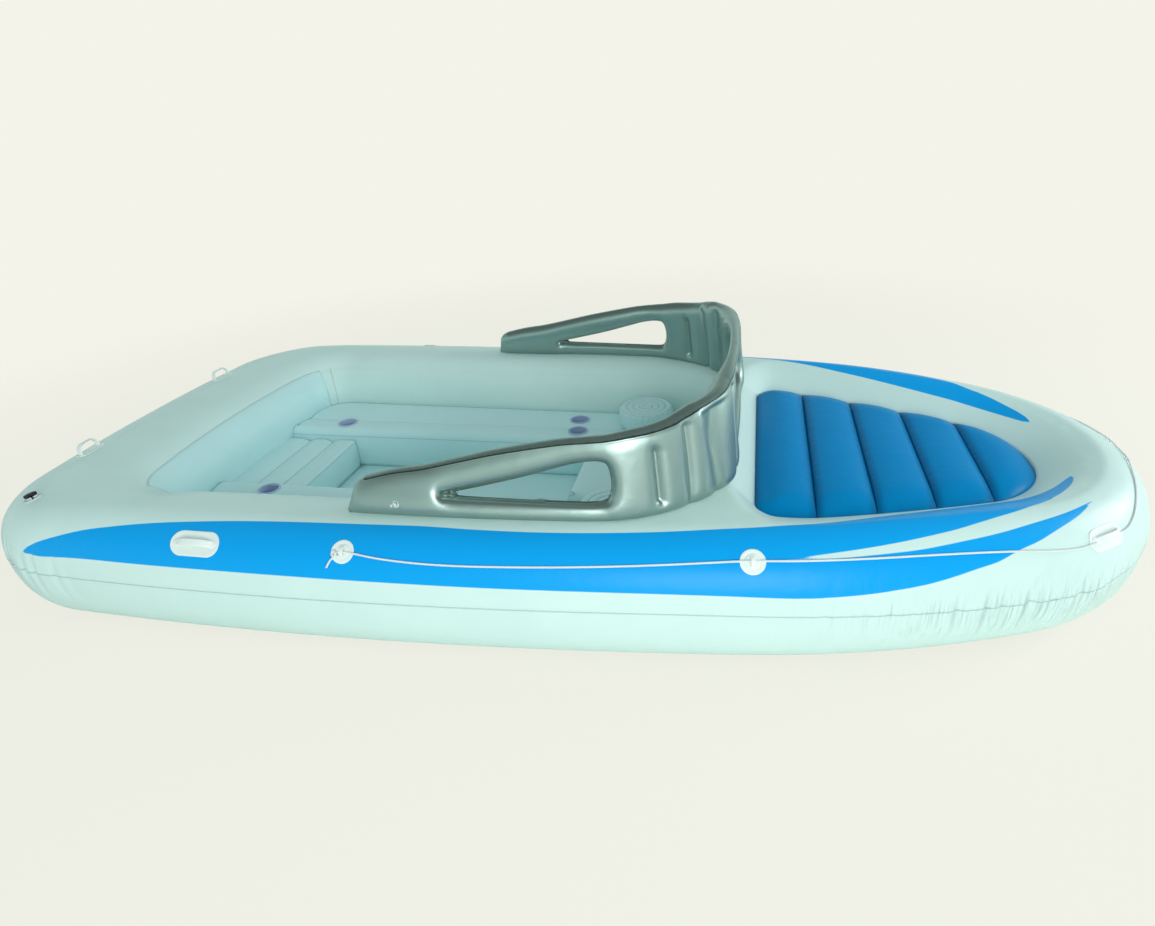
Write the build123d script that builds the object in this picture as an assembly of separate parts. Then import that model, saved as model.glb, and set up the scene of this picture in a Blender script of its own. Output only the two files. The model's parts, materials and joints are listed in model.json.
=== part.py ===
from build123d import *
import os
from math import asin, cos, radians, sin, sqrt, tan

# Inflatable floating island shaped like an open speedboat.
# Millimetres, +X to the bow, +Y to port, +Z up. The flat bottom lies on Z = 0 and the
# hull's middle is at X = 0, Y = 0.

# Hull chamber
HULL_LENGTH = 4940.0
HULL_HEIGHT = 540.0
SHEER_ROLL = 220.0
CHINE_ROLL = 200.0
GAP = 0.3

# Plan curves run from the stern on the centre line round the port side to the bow.
# Each row: straight run before the bend, radius of the bend, turn of the bend in degrees.
# One last bend closes the curve square to the centre line.
HULL_PLAN = [(0, 7817, 5.5), (0, 522, 82.6), (0, 17469, 9.3), (0, 3917, 16.0)]
COCKPIT_PLAN = [(0, 4200, 8.0), (0, 190, 83.5), (2080, 300, 76.0)]
PAD_PLAN = [(560, 90, 90.0), (0, 600, 16.0), (0, 5200, 7.5)]

# Cockpit: each flare row is the height of the wall and how far it has opened outward
COCKPIT_REAR = -1900.0
COCKPIT_FLARE = [(280, 0), (480, 55), (522, 95), (541, 200)]
FLOOR_TOP = 50.0
BENCH_TOP = 280.0
BENCH_INNER = 310.0
BENCH_GROOVE = 470.0
BENCH_NOSE = 60.0
GROOVE_WIDTH = 60.0
GROOVE_DEPTH = 16.0
STERN_BENCH_TOP = 220.0
STERN_BENCH_FRONT = -1320.0
STERN_BENCH_RIBS = 3
RIB_RISE = 14.0
BOW_BENCH_REAR = 60.0
BACKREST_FOOT = -1760.0
BACKREST_RIM = 30.0
BACKREST_TOP = 470.0

# Sunpad in the bow, made of tubes that run across
PAD_REAR = 910.0
PAD_FLARE = [(400, 0), (500, 45), (541, 170)]
PAD_BASE = 300.0
PAD_VALLEY = 425.0
PAD_TUBE_PITCH = 230.0
PAD_TUBE_RISE = 40.0
PAD_TUBES = 5

# Windscreen: plan of the middle of its wall at the deck, and at a height above the deck
SCREEN_START = -1060.0
SCREEN_PLAN = [(567, 400, 90.0), (0, 10650, 5.1), (0, 604, 9.6), (0, 646, 44.5), (0, 157, 28.1)]
SCREEN_UPPER_PLAN = [(360, 400, 83.1), (0, 15373, 3.5), (0, 1216, 7.2), (0, 389, 47.1), (0, 444, 28.9)]
SCREEN_UPPER_RISE = 420.0
SCREEN_WALL = 90.0
SCREEN_FOOT_WALL = 50.0
SCREEN_FOOT_RISE = 50.0
SCREEN_ROLL = 28.0
SCREEN_REAR_FOOT = -625.0
SCREEN_JOIN = 420.0
# Top edge: station X and rise above the deck
SCREEN_TOP_LINE = [(-580, 118), (-300, 182), (90, 276), (330, 318), (640, 369), (900, 396)]
# Side opening: apex, two upper corners and lower front corner, in X and rise above the deck
SIDE_OPENING = [(-225, 76), (330, 221), (392, 218), (396, 70)]
SIDE_OPENING_ROUND = 24.0
WINDOW_HALF = 385.0
WINDOW_LOW = 66.0
WINDOW_HIGH = 330.0
WINDOW_ROUND = 60.0
WINDOW_FILM = 4.0

# Cup holders: X and Y of the ones to port
CUP_PLACES = [(-1410, 402), (-29, 404), (-50, 552)]
CUP_BORE = 92.0
CUP_WALL = 3.0
CUP_DEPTH = 85.0
CUP_RIM = 112.0
CUP_RIM_HEIGHT = 4.0

# Round cushions on the forward corners of the benches
DRUM_PLACE = (330.0, 530.0)
DRUM_DIAMETER = 290.0
DRUM_HEIGHT = 110.0
DRUM_ROLL = 20.0

# Fittings welded on the hull's shoulder, each by station X and drop below the hull's top
PATCH_THICK = 3.0
PATCH_DEPTH = 60.0
ROPE_PATCH = 90.0
ROPE_PATCHES = [(-563.0, 60.0), (912.0, 65.0)]
SIDE_HANDLE = (-1183.0, 65.0)
BOW_HANDLE = (2091.0, 85.0)
HANDLE_LENGTH = 217.0
HANDLE_WIDTH = 105.0
BOW_HANDLE_LENGTH = 190.0
BOW_HANDLE_WIDTH = 95.0
GRIP_REACH = 34.0
GRIP_WIDTH = 22.0
GRIP_THICK = 6.0
GRIP_INSET = 40.0
STERN_HANDLE = (-2225.0, 520.0)
STERN_PATCH = (70.0, 170.0)
STERN_PATCH_ROUND = 20.0
STERN_GRIP_REACH = 45.0
VALVE_PLACE = (-2150.0, 960.0)
VALVE_BASE = 78.0
VALVE_CAP = 46.0
VALVE_BASE_HEIGHT = 6.0
VALVE_CAP_HEIGHT = 16.0

# Grab rope: stations X and drops below the hull's top, from the port end to the bow
ROPE = 8.0
ROPE_LIFT = 9.0
LOOP_BAND = 4.0
LOOP_LENGTH = 22.0
ROPE_EASE = 1.0
ROPE_ROUTE = [
    (-600, 60), (-526, 60), (-400, 82), (-180, 90), (80, 88), (330, 83), (580, 76), (780, 68),
    (876, 65), (948, 65), (1080, 66), (1300, 67), (1540, 71), (1760, 82), (1900, 98), (2000, 109),
    (2062, 100), (2120, 70), (2190, 54), (2265, 48), (2340, 44), (2398, 41), (2443, 40), (2465, 40),
]


def arc_points(x, y, heading, radius, turn):
    """Start, middle and end of an arc that turns to starboard by turn degrees."""
    cx = x + radius * sin(radians(heading))
    cy = y - radius * cos(radians(heading))
    spots = [(x, y)]
    for part in (0.5, 1.0):
        angle = radians(heading + 90.0 - turn * part)
        spots.append((cx + radius * cos(angle), cy + radius * sin(angle)))
    return spots


def half_plan(start, rows, grow=0.0):
    """Edges of the port half of a plan curve, moved outward by grow."""
    x, y, heading = start - grow, 0.0, 90.0
    edges = []
    for run, radius, turn in rows:
        if run:
            x2, y2 = x + run * cos(radians(heading)), y + run * sin(radians(heading))
            edges.append(Line((x, y), (x2, y2)))
            x, y = x2, y2
        points = arc_points(x, y, heading, radius + grow, turn)
        edges.append(ThreePointArc(*points))
        x, y = points[-1]
        heading -= turn
    closing = heading + 90.0
    points = arc_points(x, y, heading, y / sin(radians(closing)), closing)
    edges.append(ThreePointArc(points[0], points[1], (points[2][0], 0.0)))
    return edges


def plan_face(start, rows, grow=0.0):
    port = half_plan(start, rows, grow)
    starboard = [edge.mirror(Plane.XZ) for edge in port]
    return make_face(Wire(port + starboard))


def wall_between(start, rows, low, inner, high, outer):
    """Solid between two heights whose plan grows evenly from inner to outer."""
    lower = Pos(0, 0, low) * plan_face(start, rows, inner)
    upper = Pos(0, 0, high) * plan_face(start, rows, outer)
    return loft([lower.face(), upper.face()], ruled=True)


def flared(start, rows, levels, bottom, grow=0.0):
    """A well with an upright wall up to the first level, then opening outward."""
    first = levels[0][0]
    well = Pos(0, 0, bottom) * extrude(plan_face(start, rows, grow), first - bottom)
    for (low, inner), (high, outer) in zip(levels, levels[1:]):
        well += wall_between(start, rows, low, inner + grow, high, outer + grow)
    return well


def slab(x1, x2, y1, y2, z1, z2):
    return Pos((x1 + x2) / 2, (y1 + y2) / 2, (z1 + z2) / 2) * Box(x2 - x1, y2 - y1, z2 - z1)


def side_profile(points, y1, y2):
    """Extrude an outline drawn in X and Z from y1 to y2."""
    outline = make_face(Polyline(*[(x, 0, z) for x, z in points], close=True))
    shape = extrude(outline, y2 - y1, dir=(0, 1, 0))
    return Pos(0, y1, 0) * shape


def hull_block(grow=0.0):
    """The hull without its wells, its skin moved outward by grow."""
    body = Pos(0, 0, -grow) * extrude(plan_face(-HULL_LENGTH / 2, HULL_PLAN, grow), HULL_HEIGHT + 2 * grow)
    body = fillet(body.edges().group_by(Axis.Z)[-1], SHEER_ROLL + grow)
    return fillet(body.edges().group_by(Axis.Z)[0], CHINE_ROLL + grow)


def hull_chamber():
    body = hull_block()
    body -= flared(COCKPIT_REAR, COCKPIT_PLAN, COCKPIT_FLARE, -1)
    return body - flared(PAD_REAR, PAD_PLAN, PAD_FLARE, -1)


def cockpit_space(bottom, top):
    """The inside of the cockpit's wall between two heights, clear of the wall by the gap."""
    well = flared(COCKPIT_REAR, COCKPIT_PLAN, COCKPIT_FLARE, bottom, -GAP)
    return well & slab(-HULL_LENGTH, HULL_LENGTH, -HULL_LENGTH, HULL_LENGTH, bottom, top)


def backrest():
    foot, rim = FLOOR_TOP + GAP, COCKPIT_REAR + BACKREST_RIM
    wedge = [(-HULL_LENGTH, foot), (-HULL_LENGTH, BACKREST_TOP), (rim, BACKREST_TOP),
             (BACKREST_FOOT, BENCH_TOP), (BACKREST_FOOT, foot)]
    return side_profile(wedge, -HULL_LENGTH, HULL_LENGTH) & cockpit_space(foot, BACKREST_TOP)


def side_bench():
    """Port bench: two tubes side by side with a rounded nose."""
    low, groove = FLOOR_TOP + GAP, BENCH_TOP - GROOVE_DEPTH
    outer, half = HULL_LENGTH / 2, GROOVE_WIDTH / 2
    with BuildPart() as bench:
        with BuildSketch(Plane.YZ.offset(BACKREST_FOOT + GAP)):
            with BuildLine():
                Polyline((BENCH_INNER, low), (BENCH_INNER, BENCH_TOP), (BENCH_GROOVE - half, BENCH_TOP),
                         (BENCH_GROOVE, groove), (BENCH_GROOVE + half, BENCH_TOP), (outer, BENCH_TOP),
                         (outer, low), close=True)
            make_face()
            nose = [v for v in vertices() if abs(v.Y - BENCH_INNER) < 1 and v.Z > groove]
            fillet(nose, BENCH_NOSE)
        extrude(amount=HULL_LENGTH)
    return bench.part


def upright(x, y, z, radius, height):
    """Round post that stands on height Z."""
    return Pos(x, y, z) * Cylinder(radius, height, align=(Align.CENTER, Align.CENTER, Align.MIN))


def cup_hole(x, y):
    return upright(x, y, BENCH_TOP - CUP_DEPTH - CUP_WALL - GAP, CUP_BORE / 2 + CUP_WALL + GAP, HULL_HEIGHT)


def bench():
    body = side_bench() & cockpit_space(FLOOR_TOP + GAP, BENCH_TOP + 1)
    for x, y in CUP_PLACES:
        body -= cup_hole(x, y)
    return body


def cup(x, y):
    """A moulded cup let into the bench, with a flat rim."""
    floor = BENCH_TOP - CUP_DEPTH - CUP_WALL
    body = upright(x, y, floor, CUP_BORE / 2 + CUP_WALL, CUP_DEPTH + CUP_WALL + GAP)
    body += upright(x, y, BENCH_TOP + GAP, CUP_RIM / 2, CUP_RIM_HEIGHT)
    return body - upright(x, y, floor + CUP_WALL, CUP_BORE / 2, HULL_HEIGHT)


def stern_bench():
    """Low bench between the side benches, its top in ribs that run across."""
    rear, front = BACKREST_FOOT + GAP, STERN_BENCH_FRONT
    half, low = BENCH_INNER - GAP, FLOOR_TOP + GAP
    valley = STERN_BENCH_TOP - RIB_RISE
    pitch = (front - rear) / STERN_BENCH_RIBS
    top = []
    for i in range(STERN_BENCH_RIBS):
        start = front - i * pitch
        ridge = (start - pitch / 2, 0, STERN_BENCH_TOP)
        top.append(ThreePointArc((start, 0, valley), ridge, (start - pitch, 0, valley)))
    sides = Polyline((rear, 0, valley), (rear, 0, low), (front, 0, low), (front, 0, valley))
    outline = make_face(Wire(top + list(sides.edges())))
    return Pos(0, -half, 0) * extrude(outline, 2 * half, dir=(0, 1, 0))


def bow_bench():
    half, low = BENCH_INNER - GAP, FLOOR_TOP + GAP
    return slab(BOW_BENCH_REAR, HULL_LENGTH, -half, half, low, BENCH_TOP) & cockpit_space(low, BENCH_TOP)


def drum():
    """Round cushion with a rolled upper edge."""
    body = upright(*DRUM_PLACE, BENCH_TOP + GAP, DRUM_DIAMETER / 2, DRUM_HEIGHT)
    return fillet(body.edges().group_by(Axis.Z)[-1], DRUM_ROLL)


def bow_floor():
    space = flared(PAD_REAR, PAD_PLAN, PAD_FLARE, 0, -GAP)
    return space & slab(0, HULL_LENGTH, -HULL_LENGTH, HULL_LENGTH, 0, PAD_BASE - GAP)


def sunpad():
    space = flared(PAD_REAR, PAD_PLAN, PAD_FLARE, PAD_BASE, -GAP)
    end = PAD_REAR - 1 + PAD_TUBES * PAD_TUBE_PITCH
    top = []
    for i in range(PAD_TUBES):
        start = end - i * PAD_TUBE_PITCH
        ridge = (start - PAD_TUBE_PITCH / 2, 0, PAD_VALLEY + PAD_TUBE_RISE)
        top.append(ThreePointArc((start, 0, PAD_VALLEY), ridge, (start - PAD_TUBE_PITCH, 0, PAD_VALLEY)))
    rear = PAD_REAR - 1
    sides = Polyline((rear, 0, PAD_VALLEY), (rear, 0, PAD_BASE), (end, 0, PAD_BASE), (end, 0, PAD_VALLEY))
    outline = make_face(Wire(top + list(sides.edges())))
    return space & (Pos(0, -HULL_LENGTH / 2, 0) * extrude(outline, HULL_LENGTH, dir=(0, 1, 0)))


def screen_shell(outer, inner):
    """Leaning wall between two set-outs from the middle of the windscreen's wall."""
    foot = HULL_HEIGHT + GAP
    shells = []
    for grow in (outer, inner):
        lower = Pos(0, 0, foot) * plan_face(SCREEN_START, SCREEN_PLAN, grow)
        upper = Pos(0, 0, foot + SCREEN_UPPER_RISE) * plan_face(SCREEN_START, SCREEN_UPPER_PLAN, grow)
        shells.append(loft([lower.face(), upper.face()], ruled=True))
    return shells[0] - shells[1]


def screen_foot_waste():
    """What is cut away beside the narrow foot of the wall, inside and outside."""
    low, high = HULL_HEIGHT, HULL_HEIGHT + GAP + SCREEN_FOOT_RISE
    wide, narrow = SCREEN_WALL / 2, SCREEN_FOOT_WALL / 2
    skin = wall_between(SCREEN_START, SCREEN_PLAN, low, narrow, high, wide)
    core = wall_between(SCREEN_START, SCREEN_PLAN, low, -narrow, high, -wide - SCREEN_FOOT_RISE / 4)
    return slab(-HULL_LENGTH, HULL_LENGTH, -HULL_LENGTH, HULL_LENGTH, low, high) - (skin - core)


def screen_side_line():
    """Side view of the windscreen, cut off at the rear and along its rising top."""
    line = [(x, 0, HULL_HEIGHT + rise) for x, rise in SCREEN_TOP_LINE]
    sides = Polyline(line[-1], (line[-1][0], 0, HULL_HEIGHT), (SCREEN_REAR_FOOT, 0, HULL_HEIGHT), line[0])
    outline = make_face(Wire([Spline(*line)] + list(sides.edges())))
    return Pos(0, -HULL_LENGTH, 0) * extrude(outline, 2 * HULL_LENGTH, dir=(0, 1, 0))


def side_opening():
    outline = make_face(Polyline(*[(x, 0, HULL_HEIGHT + rise) for x, rise in SIDE_OPENING], close=True))
    front = [v for v in outline.vertices() if v.X > 0]
    outline = fillet(front, SIDE_OPENING_ROUND)
    return Pos(0, -HULL_LENGTH, 0) * extrude(outline, 2 * HULL_LENGTH, dir=(0, 1, 0))


def windscreen():
    """The whole wall, its top edges rolled."""
    body = (screen_shell(SCREEN_WALL / 2, -SCREEN_WALL / 2) & screen_side_line()) - screen_foot_waste()
    top = body.faces().sort_by(Axis.Z)[-1]
    return fillet(top.edges(), SCREEN_ROLL) - side_opening()


def window_block(grow):
    """Block with rounded edges that cuts the window's hole, changed in size by grow."""
    half, low, high = WINDOW_HALF + grow, HULL_HEIGHT + WINDOW_LOW - grow, HULL_HEIGHT + WINDOW_HIGH + grow
    block = slab(SCREEN_JOIN, HULL_LENGTH, -half, half, low, high)
    return fillet(block.edges().filter_by(Axis.X), WINDOW_ROUND + grow)


def screen_front():
    far = HULL_LENGTH
    return (windscreen() & slab(SCREEN_JOIN, far, -far, far, 0, far)) - window_block(0)


def screen_rail():
    far = HULL_LENGTH
    return windscreen() & slab(-far, SCREEN_JOIN - GAP, 0, far, 0, far)


def window_film():
    return screen_shell(WINDOW_FILM / 2, -WINDOW_FILM / 2) & window_block(-GAP)


def outline_at(station):
    """Point and outward direction of the hull's plan curve at a station X."""
    x, y, heading = -HULL_LENGTH / 2, 0.0, 90.0
    bends = HULL_PLAN + [None]
    for row in bends:
        turn = row[2] if row else heading + 90.0
        radius = row[1] if row else y / sin(radians(turn))
        cx, cy = x + radius * sin(radians(heading)), y - radius * cos(radians(heading))
        end = radians(heading + 90.0 - turn)
        x2, y2 = cx + radius * cos(end), cy + radius * sin(end)
        if station <= x2 or row is None:
            break
        x, y, heading = x2, y2, heading - turn
    across = sqrt(radius ** 2 - (station - cx) ** 2)
    return (station, cy + across), ((station - cx) / radius, across / radius)


def shoulder(station, drop, side=1, lift=0.0):
    """Plane on the hull's upper roll: Z points out of the skin, X runs forward along it."""
    (x, y), (nx, ny) = outline_at(station)
    rise = min(max(SHEER_ROLL - drop, 0.0), SHEER_ROLL)
    tilt = asin(rise / SHEER_ROLL)
    reach = SHEER_ROLL * (1 - cos(tilt))
    normal = Vector(nx * cos(tilt), side * ny * cos(tilt), sin(tilt))
    point = Vector(x - nx * reach, side * (y - ny * reach), HULL_HEIGHT - drop)
    along = Vector(ny, -side * nx, 0)
    return Plane(origin=point + normal * lift, x_dir=along, z_dir=normal)


def skin_patch(outer_skin, inner_skin, place, face):
    """A thin patch that follows the hull's skin under a flat outline."""
    cutter = place * (Pos(0, 0, -PATCH_DEPTH) * extrude(face, 2 * PATCH_DEPTH))
    return (outer_skin & cutter) - inner_skin


def loop_on(place):
    """Small eye on a patch that the rope runs through."""
    eye = Box(LOOP_LENGTH, ROPE + 2 * LOOP_BAND, ROPE + 2 * LOOP_BAND)
    bore = Rot(0, 90, 0) * Cylinder(ROPE / 2 + ROPE_EASE, 2 * LOOP_LENGTH)
    return place * (eye - bore)


def rope_patch(skins, place, lifted):
    patch = skin_patch(skins[1], skins[0], place, Circle(ROPE_PATCH / 2))
    return patch + loop_on(lifted)


def grip(span, reach):
    """Strap that stands up in an arch along X, its feet a little under the skin."""
    half, foot = span / 2, -2 * PATCH_THICK
    inner_half = half - GRIP_THICK - 2
    outer = ThreePointArc((-half, 0, foot), (0, 0, reach), (half, 0, foot))
    inner = ThreePointArc((-inner_half, 0, foot), (0, 0, reach - GRIP_THICK), (inner_half, 0, foot))
    ends = [Line((-half, 0, foot), (-inner_half, 0, foot)), Line((half, 0, foot), (inner_half, 0, foot))]
    band = make_face(Wire([outer, inner] + ends))
    return Pos(0, -GRIP_WIDTH / 2, 0) * extrude(band, GRIP_WIDTH, dir=(0, 1, 0))


def handle(skins, place, length, width):
    """Oval pad with a strap that stands up in an arch."""
    pad = skin_patch(skins[1], skins[0], place, SlotOverall(length, width))
    strap = place * grip(length - 2 * GRIP_INSET, GRIP_REACH)
    return pad + (strap - skins[0])


def stern_handle(side):
    """Flat patch on the stern's top with a strap across the boat."""
    x, y = STERN_HANDLE
    place = Pos(x, side * y, HULL_HEIGHT + GAP)
    base = extrude(RectangleRounded(*STERN_PATCH, STERN_PATCH_ROUND), PATCH_THICK)
    strap = Rot(0, 0, 90) * grip(STERN_PATCH[1] - 2 * STERN_PATCH_ROUND, STERN_GRIP_REACH)
    return place * (base + (strap & Pos(0, 0, HULL_HEIGHT / 2) * Box(HULL_HEIGHT, HULL_HEIGHT, HULL_HEIGHT)))


def valve_base():
    return upright(VALVE_PLACE[0], -VALVE_PLACE[1], HULL_HEIGHT + GAP, VALVE_BASE / 2, VALVE_BASE_HEIGHT)


def valve_cap():
    foot = HULL_HEIGHT + 2 * GAP + VALVE_BASE_HEIGHT
    return upright(VALVE_PLACE[0], -VALVE_PLACE[1], foot, VALVE_CAP / 2, VALVE_CAP_HEIGHT)


def grab_rope():
    """One rope from the port patch round the bow to the starboard patch."""
    port = [shoulder(x, drop, 1, ROPE_LIFT).origin for x, drop in ROPE_ROUTE]
    starboard = [Vector(p.X, -p.Y, p.Z) for p in reversed(port)]
    points = port + starboard
    radii = []
    for before, here, after in zip(points, points[1:], points[2:]):
        run_in, run_out = here - before, after - here
        half_turn = radians(run_in.get_angle(run_out)) / 2
        radii.append(0.45 * min(run_in.length, run_out.length) / tan(half_turn))
    path = FilletPolyline(*points, radius=radii)
    print("rope length", round(path.length), "smallest bend", round(min(radii)))
    section = Plane(origin=points[0], z_dir=points[1] - points[0]) * Circle(ROPE / 2)
    return sweep(section, path=path)


def write(name, shape):
    solids = shape.solids()
    body = solids[0] if len(solids) == 1 else Compound(children=list(solids))
    export_step(body, f"parts/{name}.step")
    print(name, len(solids), round(shape.volume / 1e6, 3))


def write_pair(name, shape):
    write(f"{name}_port", shape)
    write(f"{name}_starboard", shape.mirror(Plane.XZ))


def main():
    os.makedirs("parts", exist_ok=True)
    skins = [hull_block(GAP), hull_block(GAP + PATCH_THICK)]
    write("hull_chamber", hull_chamber())
    write("cockpit_floor", cockpit_space(0, FLOOR_TOP))
    write("stern_backrest", backrest())
    write_pair("side_bench", bench())
    write("stern_bench", stern_bench())
    write("bow_bench", bow_bench())
    write_pair("corner_cushion", drum())
    write("bow_floor", bow_floor())
    write("sunpad", sunpad())
    write("windscreen_front", screen_front())
    write_pair("windscreen_rail", screen_rail())
    write("windscreen_window", window_film())
    for number, (x, y) in enumerate(CUP_PLACES, 1):
        write_pair(f"cup_holder_{number}", cup(x, y))
    for number, place in enumerate(ROPE_PATCHES, 1):
        patch = rope_patch(skins, shoulder(*place), shoulder(*place, 1, ROPE_LIFT))
        write_pair(f"rope_patch_{number}", patch)
    write_pair("side_handle", handle(skins, shoulder(*SIDE_HANDLE), HANDLE_LENGTH, HANDLE_WIDTH))
    write_pair("bow_handle", handle(skins, shoulder(*BOW_HANDLE), BOW_HANDLE_LENGTH, BOW_HANDLE_WIDTH))
    write_pair("stern_handle", stern_handle(1))
    write("hull_valve_base", valve_base())
    write("hull_valve_cap", valve_cap())
    write("grab_rope", grab_rope())


main()
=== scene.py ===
# %% [markdown]
# # A boat-shaped inflatable island
# The real one is made of flat sheets of soft vinyl that are welded along their edges and blown up.
# Air pressure does the shaping: every panel swells until a weld or a neighbour stops it.
# The CAD model gives the sizes and the places. Here each soft chamber is drawn again as a swollen
# skin, worked out with numpy, and gets a vinyl finish.

# %% Load the frame
import json
from math import cos, radians, sin
import bpy
import numpy as np
from mathutils import Matrix, Vector
from mathutils.geometry import delaunay_2d_cdt

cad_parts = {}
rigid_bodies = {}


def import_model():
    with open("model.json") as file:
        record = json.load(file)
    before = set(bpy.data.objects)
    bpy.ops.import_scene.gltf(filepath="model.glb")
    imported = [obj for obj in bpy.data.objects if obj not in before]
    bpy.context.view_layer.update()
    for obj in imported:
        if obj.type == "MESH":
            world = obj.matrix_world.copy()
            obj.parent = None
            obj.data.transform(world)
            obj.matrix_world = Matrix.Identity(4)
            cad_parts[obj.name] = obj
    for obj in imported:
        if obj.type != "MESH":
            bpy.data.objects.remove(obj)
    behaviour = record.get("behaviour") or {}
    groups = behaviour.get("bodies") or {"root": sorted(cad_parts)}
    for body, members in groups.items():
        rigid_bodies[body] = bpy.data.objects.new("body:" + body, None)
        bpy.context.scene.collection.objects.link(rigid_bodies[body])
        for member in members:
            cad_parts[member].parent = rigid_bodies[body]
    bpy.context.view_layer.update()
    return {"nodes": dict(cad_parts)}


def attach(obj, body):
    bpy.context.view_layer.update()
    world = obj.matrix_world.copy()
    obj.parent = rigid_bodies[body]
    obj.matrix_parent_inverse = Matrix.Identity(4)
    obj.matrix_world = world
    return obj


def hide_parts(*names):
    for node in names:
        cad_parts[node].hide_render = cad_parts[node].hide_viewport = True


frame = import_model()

print("CAD nodes:", len(frame["nodes"]))

# %% [markdown]
# ## Camera
# The photograph was taken from a little above head height, off the starboard bow. Three turns
# describe where the camera looks: round the upright, then down, then a small roll.

# %% Camera
def look(place, turn, down, roll, lens):
    """Camera at place that looks along +Y, turned about the upright, then tipped down, then rolled."""
    t, d, r = radians(turn), radians(down), radians(roll)
    ahead = Vector((sin(t) * cos(d), cos(t) * cos(d), -sin(d)))
    right = Vector((cos(t), -sin(t), 0.0))
    up = right.cross(ahead)
    right, up = right * cos(r) + up * sin(r), up * cos(r) - right * sin(r)
    data = bpy.data.cameras.new("camera")
    data.lens = lens
    data.sensor_width = 36.0
    data.clip_end = 200.0
    camera = bpy.data.objects.new("camera", data)
    bpy.context.scene.collection.objects.link(camera)
    turned = Matrix((right, up, -ahead)).transposed().to_4x4()
    camera.matrix_world = Matrix.Translation(place) @ turned
    bpy.context.scene.camera = camera


look(Vector((0.8650, -3.1791, 1.9456)), turn=-14.228, down=26.736, roll=-3.892, lens=23.123)

# %% [markdown]
# ## Colours and materials
# Nearly all finishes are soft vinyl, so one recipe serves them: a broad gloss, a very fine
# calendered grain, and a slow waviness where the film is not quite taut. The silver one is mostly
# metallic. Colours are written as on a paint card and turned to linear light by one function.

# %% Node helpers
def linear(code):
    """Linear colour from an sRGB hex code."""
    c = np.array([int(code[i:i + 2], 16) for i in (1, 3, 5)]) / 255.0
    c = np.where(c <= 0.04045, c / 12.92, ((c + 0.055) / 1.055) ** 2.4)
    return (*c.tolist(), 1.0)


def node(tree, kind, links=None, **settings):
    """Add a node. Settings name its own values, or its sockets when they start with in_."""
    made = tree.nodes.new(kind)
    for key, value in settings.items():
        if key.startswith("in_"):
            made.inputs[key[3:].replace("_", " ")].default_value = value
        else:
            setattr(made, key, value)
    for socket, source in (links or {}).items():
        tree.links.new(source, made.inputs[socket])
    return made


def fresh(name):
    """Material with an empty node tree, and the socket that gives object coordinates."""
    material = bpy.data.materials.new(name)
    material.use_nodes = True
    tree = material.node_tree
    tree.nodes.clear()
    return material, tree, node(tree, "ShaderNodeTexCoord").outputs["Object"]


def noise(tree, place, scale, detail):
    """Cloudy value, mostly near a half, with about as many clouds to a metre as scale says."""
    return node(tree, "ShaderNodeTexNoise", {"Vector": place}, in_Scale=scale, in_Detail=detail).outputs[0]


def ramp(tree, value, **ends):
    """Value carried from one range to another. Ends that are not named are 0 and 1."""
    return node(tree, "ShaderNodeMapRange", {"Value": value}, **ends).outputs[0]


def fade(tree, value, reach, start=1.0):
    """Smooth fall from start where the value is 0 to nothing at the reach."""
    return ramp(tree, value, in_From_Max=reach, in_To_Min=start, in_To_Max=0.0, interpolation_type="SMOOTHSTEP")


def worked(tree, operation, first, second=None):
    """Result of a sum with one or two values, the second a socket or a number."""
    made = node(tree, "ShaderNodeMath", {0: first}, operation=operation)
    if isinstance(second, float):
        made.inputs[1].default_value = second
    elif second is not None:
        tree.links.new(second, made.inputs[1])
    return made.outputs[0]


def blend(tree, share, first, code):
    """Colour that turns from the first, a socket or a hex code, into a hex code by the share."""
    mixer = node(tree, "ShaderNodeMix", {0: share}, data_type="RGBA")
    if isinstance(first, str):
        mixer.inputs[6].default_value = linear(first)
    else:
        tree.links.new(first, mixer.inputs[6])
    mixer.inputs[7].default_value = linear(code)
    return mixer.outputs[2]


def bumped(tree, height, strength, distance, normal=None):
    """Normal bent by a height from 0 to 1 that stands for a distance in metres."""
    links = {"Height": height} if normal is None else {"Height": height, "Normal": normal}
    return node(tree, "ShaderNodeBump", links, in_Strength=strength, in_Distance=distance).outputs[0]


def layered(tree, share, first, second):
    """Shader that turns from the first into the second by the share."""
    return node(tree, "ShaderNodeMixShader", {0: share, 1: first, 2: second}).outputs[0]


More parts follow.
